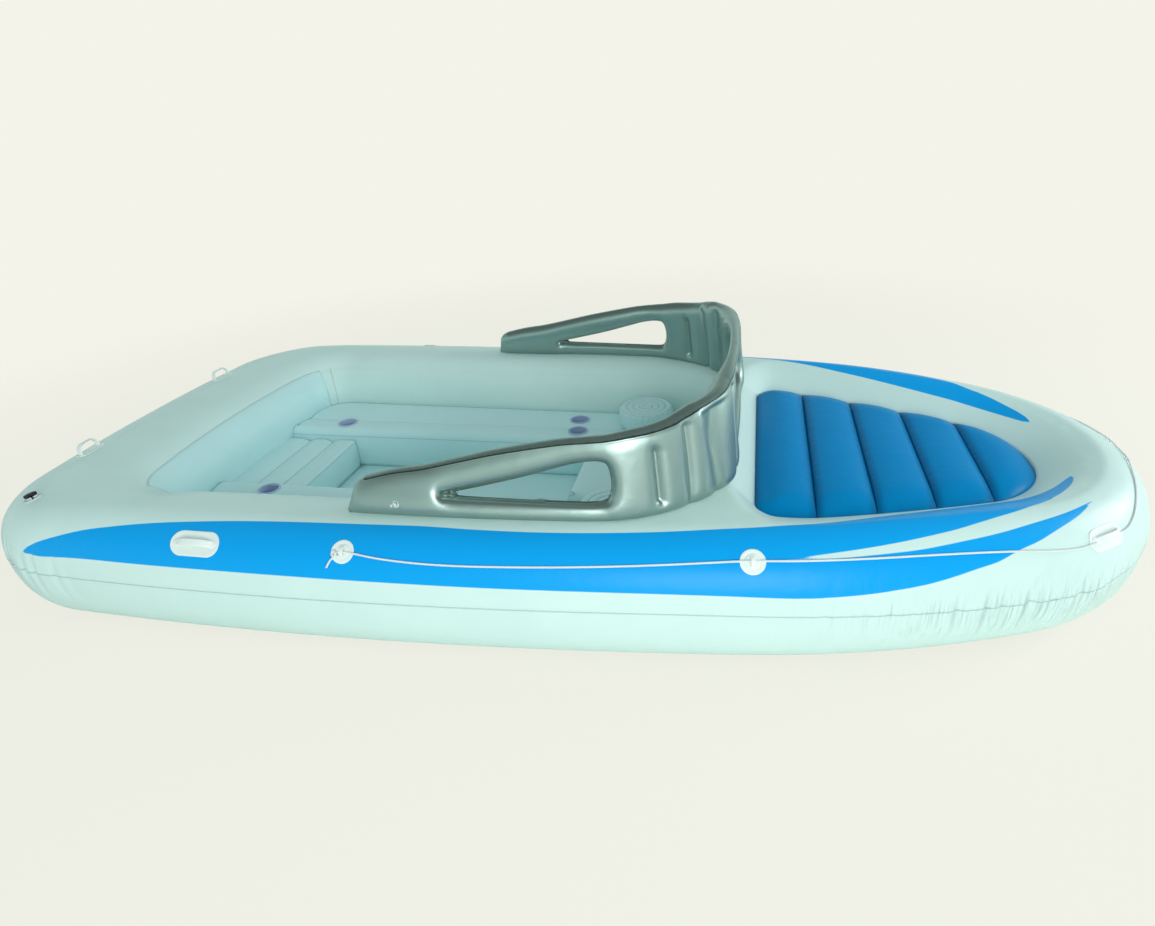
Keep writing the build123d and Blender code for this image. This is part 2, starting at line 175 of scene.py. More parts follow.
# %% Vinyl
def vinyl(name, code, shade, rough=0.32, grain=0.05, wave=0.25, prints=(), seam_and_shade="#8FA8A2", metallic=0.0, shine=0.5,
          painted_weld_shade=0.0, folds=0.0):
    """Welded vinyl sheet. Prints are (attribute, colour) pairs drawn where the attribute is above 0.

    Shine is the strength of the gloss, from 0 to 1. The argument after it is the share of shade painted into the
    colour beside a weld, also from 0 to 1.
    The seam colour gives both the weld line and that painted shade. Folds is the height in metres of short upright
    folds where the attribute slack is above 0.
    """
    material, tree, place = fresh(name)
    # Film thickness varies slowly, over about a quarter of a metre
    cloud = noise(tree, place, 4.0, 3.0)
    colour = blend(tree, cloud, code, shade)
    for attribute, ink in prints:
        edge = node(tree, "ShaderNodeAttribute", attribute_name=attribute).outputs["Fac"]
        colour = blend(tree, ramp(tree, edge, in_From_Min=-0.0012, in_From_Max=0.0012), colour, ink)
    # The weld attribute is 1 plus the distance from the weld line in metres
    mark = node(tree, "ShaderNodeAttribute", attribute_name="weld").outputs["Fac"]
    away = worked(tree, "ABSOLUTE", worked(tree, "SUBTRACT", mark, 1.0))
    # Painted shade: beside a weld, where the sheet dips down, the colour darkens towards the seam colour. The weld
    # itself is a thin line
    colour = blend(tree, fade(tree, away, 0.04, painted_weld_shade), colour, seam_and_shade)
    line = ramp(tree, away, in_From_Min=0.0010, in_From_Max=0.0024, in_To_Min=1.0, in_To_Max=0.0)
    colour = blend(tree, line, colour, seam_and_shade)
    # A low ridge on the weld, a slow waviness of about 60 mm and a calendered grain of about 1.5 mm
    bump = bumped(tree, fade(tree, away, 0.006), 0.5, 0.002)
    bump = bumped(tree, noise(tree, place, 16.0, 2.0), wave, 0.006, bump)
    bump = bumped(tree, noise(tree, place, 650.0, 2.0), grain, 0.0006, bump)
    if folds:
        upright = node(tree, "ShaderNodeMapping", {"Vector": place}, in_Scale=(42.0, 42.0, 4.0)).outputs[0]
        share = node(tree, "ShaderNodeAttribute", attribute_name="slack").outputs["Fac"]
        bump = bumped(tree, worked(tree, "MULTIPLY", noise(tree, upright, 1.0, 1.0), share), 1.0, folds, bump)
    gloss = ramp(tree, cloud, in_To_Min=rough - 0.05, in_To_Max=rough + 0.07)
    skin = node(tree, "ShaderNodeBsdfPrincipled", {"Base Color": colour, "Roughness": gloss, "Normal": bump},
                in_Metallic=metallic, in_IOR=1.46, in_Specular_IOR_Level=shine)
    node(tree, "ShaderNodeOutputMaterial", {"Surface": skin.outputs[0]})
    return material


WHITE_VINYL = vinyl("white_vinyl_welded", "#D6F0EC", "#CCE9E5", prints=(("band", "#00A4F0"),), seam_and_shade="#A9C8C4",
                    shine=0.2, folds=0.03)
WELL_VINYL = vinyl("well_vinyl_welded", "#CDF0F2", "#C3EAEC", rough=0.36, seam_and_shade="#A6C8CB")
# The sunpad's vinyl has shade painted into its colour beside each weld
PAD_VINYL = vinyl("blue_vinyl_welded", "#008FD0", "#0086C8", seam_and_shade="#00507F", shine=0.05, painted_weld_shade=0.6)
SCREEN_VINYL = vinyl("silver_vinyl_metallic", "#A4B9B4", "#96ABA6", rough=0.36, seam_and_shade="#4C5F5B", metallic=0.88)
FITTING_VINYL = vinyl("white_vinyl_moulded", "#EEF7F4", "#E6F2EE", rough=0.38, wave=0.08)
CUP_PLASTIC = vinyl("lilac_vinyl_moulded", "#B2C6E2", "#A9BEDC", rough=0.42, wave=0.05)
CAP_BLACK = vinyl("black_plastic_moulded", "#0B0C0E", "#111214", rough=0.34, wave=0.05)


def clear_vinyl(name, code, rough, veil):
    """Clear vinyl: mostly see-through, with a gloss that grows at a slant and a faint milky veil."""
    material, tree, place = fresh(name)
    slow = noise(tree, place, 9.0, 2.0)
    normal = bumped(tree, slow, 0.4, 0.008)
    through = node(tree, "ShaderNodeBsdfTransparent", in_Color=linear(code)).outputs[0]
    gloss = node(tree, "ShaderNodeBsdfGlossy", {"Normal": normal}, in_Roughness=rough).outputs[0]
    milk = node(tree, "ShaderNodeBsdfDiffuse", in_Color=linear("#DCEBE8")).outputs[0]
    # Gloss of a thin sheet, the same from both sides: 4 % face on, growing with the fifth power of the slant
    slant = node(tree, "ShaderNodeLayerWeight", {"Normal": normal}, in_Blend=0.5).outputs["Facing"]
    facing = ramp(tree, worked(tree, "POWER", slant, 5.0), in_To_Min=0.04, in_To_Max=0.9)
    milky = ramp(tree, slow, in_To_Min=0.6 * veil, in_To_Max=1.4 * veil)
    surface = layered(tree, facing, layered(tree, milky, through, milk), gloss)
    node(tree, "ShaderNodeOutputMaterial", {"Surface": surface})
    return material


CLEAR_FILM = clear_vinyl("clear_vinyl_film", "#E4F2EF", rough=0.08, veil=0.10)
CLEAR_MOULDED = clear_vinyl("clear_vinyl_moulded", "#DCEAE8", rough=0.12, veil=0.75)


def fibre(name, code, shade):
    """Rope fibre: matt, with fine streaks of yarn and a little sheen."""
    material, tree, place = fresh(name)
    yarn = noise(tree, place, 900.0, 3.0)
    skin = node(tree, "ShaderNodeBsdfPrincipled",
                {"Base Color": blend(tree, yarn, code, shade), "Normal": bumped(tree, yarn, 0.5, 0.0006)},
                in_Roughness=0.8, in_Sheen_Weight=0.3)
    node(tree, "ShaderNodeOutputMaterial", {"Surface": skin.outputs[0]})
    return material


ROPE_FIBRE = fibre("white_polypropylene_yarn", "#F4F7F6", "#D9E0DF")
print("materials:", len(bpy.data.materials))

# %% [markdown]
# ## From arrays to meshes
# Every skin below is an array of points in millimetres with an array of faces. Skins that meet are
# joined by welding points that fall on the same spot.

# %% Mesh helpers
def grid_faces(columns, rows, closed):
    """Four-cornered faces of a grid whose points run row by row within each column."""
    a = np.arange(columns if closed else columns - 1)
    b = np.arange(rows - 1)
    i, j = np.meshgrid(a, b, indexing="ij")
    k = (i + 1) % columns
    return np.stack([i * rows + j, k * rows + j, k * rows + j + 1, i * rows + j + 1], -1).reshape(-1, 4)


def wall_faces(columns, rows):
    """Faces that close the sides between a grid and a copy of it below, whose points follow the grid's."""
    number = np.arange(columns * rows).reshape(columns, rows)
    rim = np.concatenate([number[:-1, 0], number[-1, :-1], number[:0:-1, -1], number[0, :0:-1]])
    after = np.roll(rim, -1)
    below = columns * rows
    return np.stack([rim, rim + below, after + below, after], -1)


def weld(points, faces):
    """Join points that round to the same fiftieth of a millimetre and drop faces that collapse.

    Gives the places of the points that stay, and the faces by their new numbers.
    """
    key = np.round(points * 50).astype(np.int64)
    _, first, where = np.unique(key, axis=0, return_index=True, return_inverse=True)
    faces = [where.reshape(-1)[f] for f in faces]
    kept = []
    for f in faces:
        ordered = np.sort(f, axis=1)
        kept.append(f[(np.diff(ordered, axis=1) > 0).all(axis=1)])
    return first, kept


def volume(points, faces):
    """Signed volume in litres of a closed mesh, above 0 when its faces point outwards."""
    total = 0.0
    for f in faces:
        for i in range(1, f.shape[1] - 1):
            total += (np.cross(points[f[:, 0]], points[f[:, i]]) * points[f[:, i + 1]]).sum()
    return total / 6e6


def make_piece(name, points, faces, material, marks=None, joined=True, replaces=()):
    """Mesh object from points in mm, lists of faces and marks, which are values for each point."""
    points = np.asarray(points, float)
    faces = [np.asarray(f) for f in faces if len(f)]
    if volume(points, faces) < 0:
        faces = [f[:, ::-1] for f in faces]
    marks = marks or {}
    if joined:
        first, faces = weld(points, faces)
        points = points[first]
        marks = {key: np.asarray(value)[first] for key, value in marks.items()}
    corners = np.concatenate([f.reshape(-1) for f in faces]).astype(np.int32)
    sizes = np.concatenate([np.full(len(f), f.shape[1]) for f in faces]).astype(np.int32)
    mesh = bpy.data.meshes.new(name)
    mesh.vertices.add(len(points))
    mesh.vertices.foreach_set("co", (points / 1000.0).astype(np.float32).reshape(-1))
    mesh.loops.add(len(corners))
    mesh.loops.foreach_set("vertex_index", corners)
    mesh.polygons.add(len(sizes))
    mesh.polygons.foreach_set("loop_start", np.concatenate([[0], np.cumsum(sizes)[:-1]]).astype(np.int32))
    mesh.polygons.foreach_set("use_smooth", np.ones(len(sizes), bool))
    mesh.update(calc_edges=True)
    for key, value in marks.items():
        mesh.attributes.new(key, "FLOAT", "POINT").data.foreach_set("value", np.asarray(value, np.float32))
    mesh.materials.append(material)
    piece = bpy.data.objects.new(name, mesh)
    bpy.context.scene.collection.objects.link(piece)
    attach(piece, "root")
    if replaces:
        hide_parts(*replaces)
    print(name, len(points), "points", int((sizes - 2).sum()), "triangles", round(volume(points, faces), 1), "litres")
    return piece


def step(value, low, high):
    """0 below low, 1 above high, and a smooth rise between."""
    t = np.clip((np.asarray(value, float) - low) / (high - low), 0.0, 1.0)
    return t * t * (3.0 - 2.0 * t)


# %% [markdown]
# ## Plan curves
# The plan of each chamber is a chain of arcs, as in the CAD source: a row gives a straight run, the
# radius of the bend after it and how far it turns. The chain starts at the stern on the centre line
# and closes with one last bend at the bow.

# %% Plan curves
HULL_PLAN = (-2470.0, [(0, 7817, 5.5), (0, 522, 82.6), (0, 17469, 9.3), (0, 3917, 16.0)])
WELL_PLAN = (-1765.0, [(0, 4200, 8.0), (0, 190, 83.5), (1945, 300, 76.0)])
PAD_PLAN = (910.0, [(560, 90, 90.0), (0, 600, 16.0), (0, 5200, 7.5)])


def half_chain(plan):
    """Arcs of the port half: start distance, centre, radius and heading. A run is a very large arc."""
    x, y, heading, travelled = plan[0], 0.0, radians(90.0), 0.0
    rows = []
    for run, radius, turn in plan[1]:
        if run:
            rows.append((travelled, x, y, 1e7, heading, run))
            x, y, travelled = x + run * cos(heading), y + run * sin(heading), travelled + run
        length = radius * radians(turn)
        rows.append((travelled, x, y, radius, heading, length))
        cx, cy = x + radius * sin(heading), y - radius * cos(heading)
        heading -= radians(turn)
        x, y, travelled = cx - radius * sin(heading), cy + radius * cos(heading), travelled + length
    closing = heading + radians(90.0)
    radius = y / sin(closing)
    rows.append((travelled, x, y, radius, heading, radius * closing))
    return np.array(rows)


def on_plan(plan, distance):
    """Points and outward directions at distances along the closed curve, port side first."""
    rows = half_chain(plan)
    half = rows[-1, 0] + rows[-1, 5]
    distance = np.mod(distance, 2 * half)
    along = np.where(distance > half, 2 * half - distance, distance)
    side = np.where(distance > half, -1.0, 1.0)
    row = rows[np.clip(np.searchsorted(rows[:, 0], along, side="right") - 1, 0, len(rows) - 1)]
    start, x, y, radius, heading = (row[..., i] for i in range(5))
    angle = heading - (along - start) / radius
    px = x + radius * (np.sin(heading) - np.sin(angle))
    py = y - radius * (np.cos(heading) - np.cos(angle))
    return np.stack([px, side * py], -1), np.stack([-np.sin(angle), side * np.cos(angle)], -1)


def around(plan, count):
    """Points and outward directions at count even places round the whole curve."""
    rows = half_chain(plan)
    whole = 2 * (rows[-1, 0] + rows[-1, 5])
    return on_plan(plan, (np.arange(count) + 0.5) * whole / count)


def set_off(plan, spots, chunk=4000):
    """Distance outward from a plan curve, by the direction at its nearest place, and that place."""
    line, out = around(plan, 1600)
    near = np.concatenate([
        np.argmin(((spots[i:i + chunk, None, :] - line[None]) ** 2).sum(-1), axis=1)
        for i in range(0, len(spots), chunk)])
    return ((spots - line[near]) * out[near]).sum(-1), line[near]


for label, plan in (("hull", HULL_PLAN), ("well", WELL_PLAN), ("pad", PAD_PLAN)):
    line, _ = around(plan, 2000)
    print(label, "plan: length", round(float(np.ptp(line[:, 0]))), "width", round(float(np.ptp(line[:, 1]))))

# %% [markdown]
# ## The hull's skin
# In section the hull is a fat ring. From the weld at mid height the skin swells over the shoulder
# to the crest, then falls into the well, or slopes gently to the sunpad. A quarter of a
# superellipse describes each flank: a little squarer than a circle, as a pressed-down tube is.
# Each well takes its own share off the crest, and the shares add up where they overlap.

# %% Section of the hull
WELD_HEIGHT = 290.0
CREST = 540.0
# Where the well's wall starts to lean out
FLARE_FOOT = 280.0
# How far the skin sets back from the plan at the crest and underneath, and the superellipse's power
SHOULDER = 220.0
BELLY = 215.0
FULLNESS = 2.2
# Way up the skin from the side weld to the crest
CREST_GIRTH = 370.0


def crest_at(x):
    """Crest height at station x: the ring gets slimmer towards both ends."""
    return CREST - 34.0 * step(x, 1350.0, 2480.0) - 30.0 * step(-x, 1650.0, 2480.0)


def weld_at(x):
    """Height of the side weld at station x: it falls towards the bow."""
    return WELD_HEIGHT + 10.0 - 50.0 * step(x, 500.0, 2450.0)


def flare(x):
    """How far the well's wall leans out at station x, and the power of its curve: most at the stern."""
    stern = step(-x, 1350.0, 1765.0)
    return 255.0 + 150.0 * stern - 150.0 * step(x, 250.0, 700.0), 2.8 - 0.5 * stern


def well_share(spots):
    """How far the well's wall has taken the skin down at each place, from 0 to 1."""
    out, foot = set_off(WELL_PLAN, spots)
    reach, power = flare(foot[:, 0])
    rest = np.clip(1.0 - out / reach, 0.0, 1.0)
    return 1.0 - (1.0 - rest ** power) ** (1.0 / power)


def pad_edge_height(x):
    """Height of the sunpad's edge: its deck falls a little towards the bow."""
    return 442.0 - 45.0 * np.clip((x - 915.0) / 1145.0, 0.0, 1.0)


def pad_share(spots):
    """Height that the slope to the sunpad takes off the crest."""
    out, foot = set_off(PAD_PLAN, spots)
    reach = 225.0 - 110.0 * step(-foot[:, 0], -1000.0, -912.0)
    rest = np.clip(1.0 - out / reach, 0.0, 1.0)
    return (crest_at(spots[:, 0]) - pad_edge_height(foot[:, 0])) * rest ** 1.35


def deck_height(spots):
    """Height of the top skin inside the shoulder."""
    crest = crest_at(spots[:, 0])
    return crest - (crest - FLARE_FOOT) * well_share(spots) - pad_share(spots)


print("deck beside the well at the stern and amidships:",
      deck_height(np.array([[-2100.0, 0.0], [-500.0, 1000.0], [860.0, 0.0]])).round())

# %% Outer flank
# Station, spread and size of the folds
PULL_SPOTS = [(-2400.0, 260.0, 13.0), (-2080.0, 260.0, 8.0), (1500.0, 420.0, 3.0), (2100.0, 380.0, 9.0)]
PULL_DEPTH = 0.8


def pulls(points, across):
    """Small folds that run across the side weld, where the flat sheet was too long for the curve.

    Their depth is a comb of uneven waves along the hull, fading away from the weld, and strongest
    round the tight bends at the stern's corners and at the bow.
    """
    along = points[:, 0] + 0.8 * np.abs(points[:, 1])
    comb = np.sin(along / 9.5) + 0.8 * np.sin(along / 14.3 + 1.0) + 0.6 * np.sin(along / 6.1 + 2.0)
    comb = np.maximum(comb, 0.0) ** 1.3
    depth = np.zeros(len(points))
    for x, spread, most in PULL_SPOTS:
        depth += most * np.exp(-((points[:, 0] - x) / spread) ** 2)
    return -comb * depth * np.exp(-(across / 95.0) ** 2) * PULL_DEPTH


def slack(points, across):
    """Share from 0 to 1 of the short folds beside the weld, most at the stern's corners and the bow."""
    bow = step(points[:, 0], 900.0, 1700.0)
    stern = 1.0 - step(points[:, 0], -2330.0, -1930.0)
    return (bow + stern) * np.exp(-(np.minimum(np.abs(across + 12.0), 400.0) / 75.0) ** 2)


def flank(distance, turn, lift=0.0):
    """Points on the outer flank. Turn is -90 degrees underneath, 0 at the weld and 90 at the crest.

    Each point lies a set-back inward from the plan and at a height, both from a quarter superellipse.
    """
    line, out = on_plan(HULL_PLAN, distance)
    c, s = np.cos(np.radians(turn)), np.sin(np.radians(turn))
    squash = (np.abs(c) ** FULLNESS + np.abs(s) ** FULLNESS) ** (-1.0 / FULLNESS)
    upper = turn >= 0
    inward = (SHOULDER * upper + BELLY * ~upper) * (1.0 - c * squash)
    crest, middle = crest_at(line[..., 0]), weld_at(line[..., 0])
    height = middle + np.where(upper, crest - middle, middle) * s * squash
    spots = line - out * inward[..., None]
    slope = np.stack([out[..., 0] * c, out[..., 1] * c, s], -1)
    return np.concatenate([spots, height[..., None]], -1) + slope * lift


COLUMNS = 900
half = half_chain(HULL_PLAN)[-1]
girth = 2 * (half[0] + half[5])
turns = np.concatenate([np.linspace(-90, -2, 26), [-1.0, -0.45, 0.0, 0.45, 1.0], np.linspace(2, 90, 36)])
where, angle = np.meshgrid((np.arange(COLUMNS) + 0.5) * girth / COLUMNS, turns, indexing="ij")
where, angle = where.reshape(-1), angle.reshape(-1)
flank_points = flank(where, angle)
_, flank_out = on_plan(HULL_PLAN, where)
tilt = np.radians(angle)
across = (angle / 90.0) * CREST_GIRTH
# The weld stands 2.2 mm proud
proud = pulls(flank_points, across) + 2.2 * (np.abs(across) < 2.2)
flank_points[:, :2] += flank_out * (proud * np.cos(tilt))[:, None]
flank_points[:, 2] += proud * np.sin(tilt) * (angle > 0)
upper = angle > 45
flank_points[upper, 2] -= pad_share(flank_points[upper, :2]) * step(angle[upper], 45, 80)
flank_weld = 1.0 + across / 1000.0
print("flank:", flank_points.shape[0], "points, height", flank_points[:, 2].min(), flank_points[:, 2].max().round(1))

# %% Wall of the well
# Way along the well's plan to the weld down its stern corner, and the turn and the row of its rim
CORNER = 742.0
RIM_TURN = 45.0
RIM_ROW = 22


def well_section(distance, turn):
    """Points on the wall of the well at distances round its plan: turn 0 is the foot of the flare.

    The wall opens out in a quarter superellipse, which leans far more at the stern.
    """
    line, out = on_plan(WELL_PLAN, distance)
    reach, power = flare(line[..., 0])
    c, s = np.cos(np.radians(turn)), np.sin(np.radians(turn))
    squash = (c ** power + s ** power) ** (-1.0 / power)
    spots = line + out * (reach * (1.0 - c * squash))[..., None]
    crest = crest_at(spots[..., 0])
    taken = pad_share(spots.reshape(-1, 2)).reshape(crest.shape)
    height = FLARE_FOOT + (crest - FLARE_FOOT) * s * squash - taken * (s * squash) ** 4
    return np.concatenate([spots, height[..., None]], -1), out


WELL_COLUMNS = 520
well_half = half_chain(WELL_PLAN)[-1]
well_girth = 2 * (well_half[0] + well_half[5])
well_way = (np.arange(WELL_COLUMNS) + 0.5) * well_girth / WELL_COLUMNS
for corner in (CORNER, well_girth - CORNER):
    well_way[np.abs(well_way - corner).argmin()] = corner
well_turns = np.concatenate([np.linspace(0.0, RIM_TURN, RIM_ROW), np.linspace(RIM_TURN + 2, 62.0, 8)])
wall_points, _ = well_section(*np.meshgrid(well_way, well_turns, indexing="ij"))
foot = wall_points[:, :1].copy()
foot[..., 2] = 0.0
wall_points = np.concatenate([foot, wall_points], 1)
WELL_ROWS = len(well_turns)
# Welds: one round the rim, and one down each stern corner
up_wall = np.linalg.norm(np.diff(wall_points, axis=1), axis=-1).cumsum(1)
up_wall = np.concatenate([np.zeros((WELL_COLUMNS, 1)), up_wall], 1)
from_rim = np.abs(up_wall - up_wall[:, RIM_ROW, None])
from_corner = np.abs(np.minimum(well_way, well_girth - well_way) - CORNER)[:, None] + np.zeros_like(up_wall)
from_corner[:, RIM_ROW + 1:] = 1000.0
wall_weld = 1.0 + from_corner / 1000.0
wall_points[:, 1:] -= (4.5 * np.exp(-(from_rim[:, 1:] / 12.0) ** 2))[..., None] * [0.0, 0.0, 1.0]
print("well wall:", wall_points.shape, "rim at", wall_points[[0, WELL_COLUMNS // 2], RIM_ROW].round())

# %% Edge of the sunpad's recess
PAD_COLUMNS = 380
line, out = around(PAD_PLAN, PAD_COLUMNS)
edge_rows = []
for offset in (0.0, 8.0, 18.0, 30.0):
    spots = line + out * offset
    edge_rows.append(np.concatenate([spots, deck_height(spots)[:, None]], -1))
foot = edge_rows[0].copy()
foot[:, 2] = 0.0
edge_points = np.stack([foot] + edge_rows, 1)
print("pad edge:", edge_points.shape)

# %% Deck between the rims
def fill_between(outer, holes, pitch, lines=()):
    """Triangles between an outer loop and loops inside it, with evenly spaced points in between.

    Lines are rows of points inside that the edges follow, such as welds.
    """
    low, high = outer.min(0), outer.max(0)
    x, y = np.meshgrid(np.arange(low[0], high[0], pitch), np.arange(low[1], high[1], pitch), indexing="ij")
    spots = np.stack([x.ravel(), y.ravel()], -1)
    keep = inside(spots, outer) & (clearance(spots, outer) > 0.6 * pitch)
    for hole in holes:
        keep &= ~inside(spots, hole) & (clearance(spots, hole) > 0.6 * pitch)
    for line in lines:
        keep &= clearance(spots, np.concatenate([line, line[::-1]])) > 0.5 * pitch
    spots = spots[keep]
    loops = [outer] + list(holes)
    starts = np.cumsum([0] + [len(loop) for loop in loops + list(lines)])
    edges = []
    for start, loop in zip(starts, loops):
        k = np.arange(len(loop))
        edges += np.stack([start + k, start + (k + 1) % len(loop)], -1).tolist()
    for start, line in zip(starts[len(loops):], lines):
        k = start + np.arange(len(line) - 1)
        edges += np.stack([k, k + 1], -1).tolist()
    points = np.concatenate(loops + list(lines) + [spots])
    made = delaunay_2d_cdt([Vector(p) for p in points.tolist()], edges, [], 0, 1e-4)
    points = np.array([tuple(p) for p in made[0]])
    faces = np.array([f for f in made[2] if len(f) == 3])
    middle = points[faces].mean(1)
    keep = inside(middle, outer)
    for hole in holes:
        keep &= ~inside(middle, hole)
    faces = faces[keep]
    a, b, c = (points[faces[:, i]] for i in range(3))
    turned = (b[:, 0] - a[:, 0]) * (c[:, 1] - a[:, 1]) - (b[:, 1] - a[:, 1]) * (c[:, 0] - a[:, 0]) < 0
    faces[turned] = faces[turned][:, ::-1]
    return points, faces


def inside(spots, loop):
    """Which places lie inside a loop, by counting the edges crossed on a line towards +X."""
    a, b = loop, np.roll(loop, -1, axis=0)
    hit = np.zeros(len(spots), int)
    for i in range(0, len(spots), 4000):
        p = spots[i:i + 4000, None]
        span = (a[None, :, 1] > p[..., 1]) != (b[None, :, 1] > p[..., 1])
        rise = np.where(b[:, 1] == a[:, 1], 1e-9, b[:, 1] - a[:, 1])
        cross = a[None, :, 0] + (p[..., 1] - a[None, :, 1]) / rise * (b[:, 0] - a[:, 0])
        hit[i:i + 4000] = (span & (cross > p[..., 0])).sum(1)
    return hit % 2 == 1


def clearance(spots, loop):
    """Distance from each place to the nearest edge of a loop."""
    a, run = loop, np.roll(loop, -1, axis=0) - loop
    least = np.empty(len(spots))
    for i in range(0, len(spots), 4000):
        p = spots[i:i + 4000, None] - a[None]
        t = np.clip((p * run).sum(-1) / np.maximum((run * run).sum(-1), 1e-9), 0, 1)
        least[i:i + 4000] = np.sqrt(((p - t[..., None] * run) ** 2).sum(-1).min(1))
    return least


def sheet_between(loops, pitch, height, lines=()):
    """Points and triangles of a sheet between loops that keep their own heights. Height is for the rest."""
    flat, faces = fill_between(loops[0][:, :2], [loop[:, :2] for loop in loops[1:]], pitch, lines)
    sheet = np.concatenate([flat, height(flat)[:, None]], -1)
    for loop in loops:
        gap = np.abs(sheet[:, None, :2] - loop[None, :, :2]).max(-1)
        match = gap.argmin(1)
        same = gap[np.arange(len(sheet)), match] < 0.01
        sheet[same] = loop[match[same]]
    return sheet, faces


flank_grid = flank_points.reshape(COLUMNS, len(turns), 3)
# Points along the print's narrow tail, so that the mesh carries its tip
tail = np.array([(1990, 455), (2015, 425), (2040, 393), (2065, 360), (2088, 325), (2104, 298), (2113, 277)], float)
deck, deck_faces = sheet_between([flank_grid[:, -1], wall_points[:, -1], edge_points[:, -1]], 24.0, deck_height,
                                 [tail, tail * [1, -1]])
bottom, bottom_faces = sheet_between([flank_grid[:, 0], wall_points[:, 0], edge_points[:, 0]], 110.0,
                                     lambda spots: np.zeros(len(spots)))
print("deck:", len(deck), "points", len(deck_faces), "triangles")

# %% [markdown]
# ## The printed band
# The blue band is printed on the vinyl. Its edges are drawn on the unrolled skin: station along the
# hull against girth, which is the way up the skin from the weld, over the crest and on inward. Each
# table is a row of stations and girths in mm, joined by a smooth curve. The distance to the edge
# goes on the skin as an attribute, so the print stays crisp and bends with the folds.

# %% Band edges
BAND_TOP = [(-2010, 92), (-1970, 122), (-1911, 147), (-1814, 176), (-1722, 201), (-1632, 220), (-1457, 251),
            (-1284, 274), (-1030, 298), (-780, 310), (-535, 314), (-298, 315), (-64, 303), (160, 297), (375, 299),
            (585, 307), (791, 323), (928, 333), (1131, 355), (1337, 398), (1526, 430), (1705, 454), (1872, 470),
            (1960, 472), (2030, 466), (2090, 454), (2122, 440)]
UPPER_TAIL_LOW = [(2121, 432), (2096, 421), (2050, 411), (1990, 393), (1916, 370), (1822, 335), (1744, 314),
                  (1669, 294), (1597, 275), (1527, 261), (1391, 239), (1259, 223), (1127, 209), (1005, 193)]
LOWER_TAIL_TOP = [(1193, 196), (1324, 202), (1456, 209), (1590, 225), (1730, 244), (1877, 272), (1957, 286),
                  (2043, 297), (2100, 300)]
BAND_LOW = [(2029, 268), (1941, 235), (1864, 202), (1792, 180), (1722, 152), (1655, 137), (1588, 121), (1523, 107),
            (1458, 96), (1328, 81), (1199, 72), (1068, 68), (804, 74), (395, 79), (-33, 82), (-488, 87), (-977, 91),
            (-1422, 91), (-1709, 91), (-1913, 84)]
# How far from the band's edge the distance is worked out
BAND_REACH = 60.0


def smooth_line(table, steps=6):
    """Catmull-Rom curve: each stretch leaves a point along the line that joins its neighbours."""
    p = np.array(table, float)
    p = np.concatenate([2 * p[:1] - p[1:2], p, 2 * p[-1:] - p[-2:-1]])
    t = (np.arange(steps) / steps)[None, :, None]
    a, b, c, d = (p[i:len(p) - 3 + i, None] for i in range(4))
    curve = 0.5 * (2 * b + (c - a) * t + (2 * a - 5 * b + 4 * c - d) * t ** 2 + (3 * b - a - 3 * c + d) * t ** 3)
    return np.concatenate([curve.reshape(-1, p.shape[1]), p[-2:-1]])


band_outline = np.concatenate([smooth_line(BAND_TOP)[:-1], smooth_line(UPPER_TAIL_LOW),
                               smooth_line(LOWER_TAIL_TOP), smooth_line(BAND_LOW)])
print("band outline:", len(band_outline), "corners")


def band_distance(station, girth):
    """Distance in mm into the printed band, below 0 outside it."""
    spots = np.stack([station, girth], -1)
    far = np.full(len(spots), -BAND_REACH)
    near = (girth > 20.0) & (girth < 540.0)
    away = clearance(spots[near], band_outline)
    far[near] = np.clip(np.where(inside(spots[near], band_outline), away, -away), -BAND_REACH, BAND_REACH)
    return far


# %% Hull piece
everything, faces, base = [], [], 0
for points, quads in ((flank_points, grid_faces(COLUMNS, len(turns), True)[:, ::-1]),
                      (wall_points.reshape(-1, 3), grid_faces(WELL_COLUMNS, WELL_ROWS + 1, True)),
                      (edge_points.reshape(-1, 3), grid_faces(PAD_COLUMNS, 5, True)),
                      (deck, deck_faces), (bottom, bottom_faces[:, ::-1])):
    everything.append(points)
    faces.append(quads + base)
    base += len(points)
hull_points = np.concatenate(everything)
weld_mark = np.zeros(len(hull_points))
weld_mark[:len(flank_weld)] = flank_weld
weld_mark[len(flank_weld):len(flank_weld) + wall_weld.size] = wall_weld.ravel()
from_edge = -set_off(HULL_PLAN, hull_points[:, :2])[0]
skin_girth = CREST_GIRTH + np.maximum(from_edge - SHOULDER, 0.0)
skin_girth[:len(across)] = across
band = np.full(len(hull_points), -BAND_REACH)
printed = np.ones(len(hull_points), bool)
printed[len(flank_points):len(flank_points) + WELL_COLUMNS * (WELL_ROWS + 1)] = False
printed[-len(bottom):] = False
band[printed] = band_distance(hull_points[printed, 0], skin_girth[printed])
loose = np.zeros(len(hull_points))
loose[:len(across)] = slack(flank_points, across)
make_piece("hull_skin", hull_points, faces, WHITE_VINYL,
           {"weld": weld_mark, "band": band / 1000.0, "slack": loose}, replaces=("hull_chamber",))

# %% [markdown]
# ## Sunpad
# A row of tubes runs across the bow, each held down at its two welds. Between welds the sheet
# bulges like part of a circle. Near the pad's rim all tubes run down to the edge weld.

# %% Sunpad
PAD_SEAMS = [908.0, 1143.0, 1371.0, 1599.0, 1827.0, 2062.0]
TUBE = 230.0
PAD_FOOT = 305.0


def pad_half_width(x):
    """Half width of the pad's plan at station x."""
    rows = half_chain(PAD_PLAN)
    line, _ = on_plan(PAD_PLAN, np.linspace(0, rows[-1, 0] + rows[-1, 5], 4000))
    return np.interp(x, line[:, 0], line[:, 1])


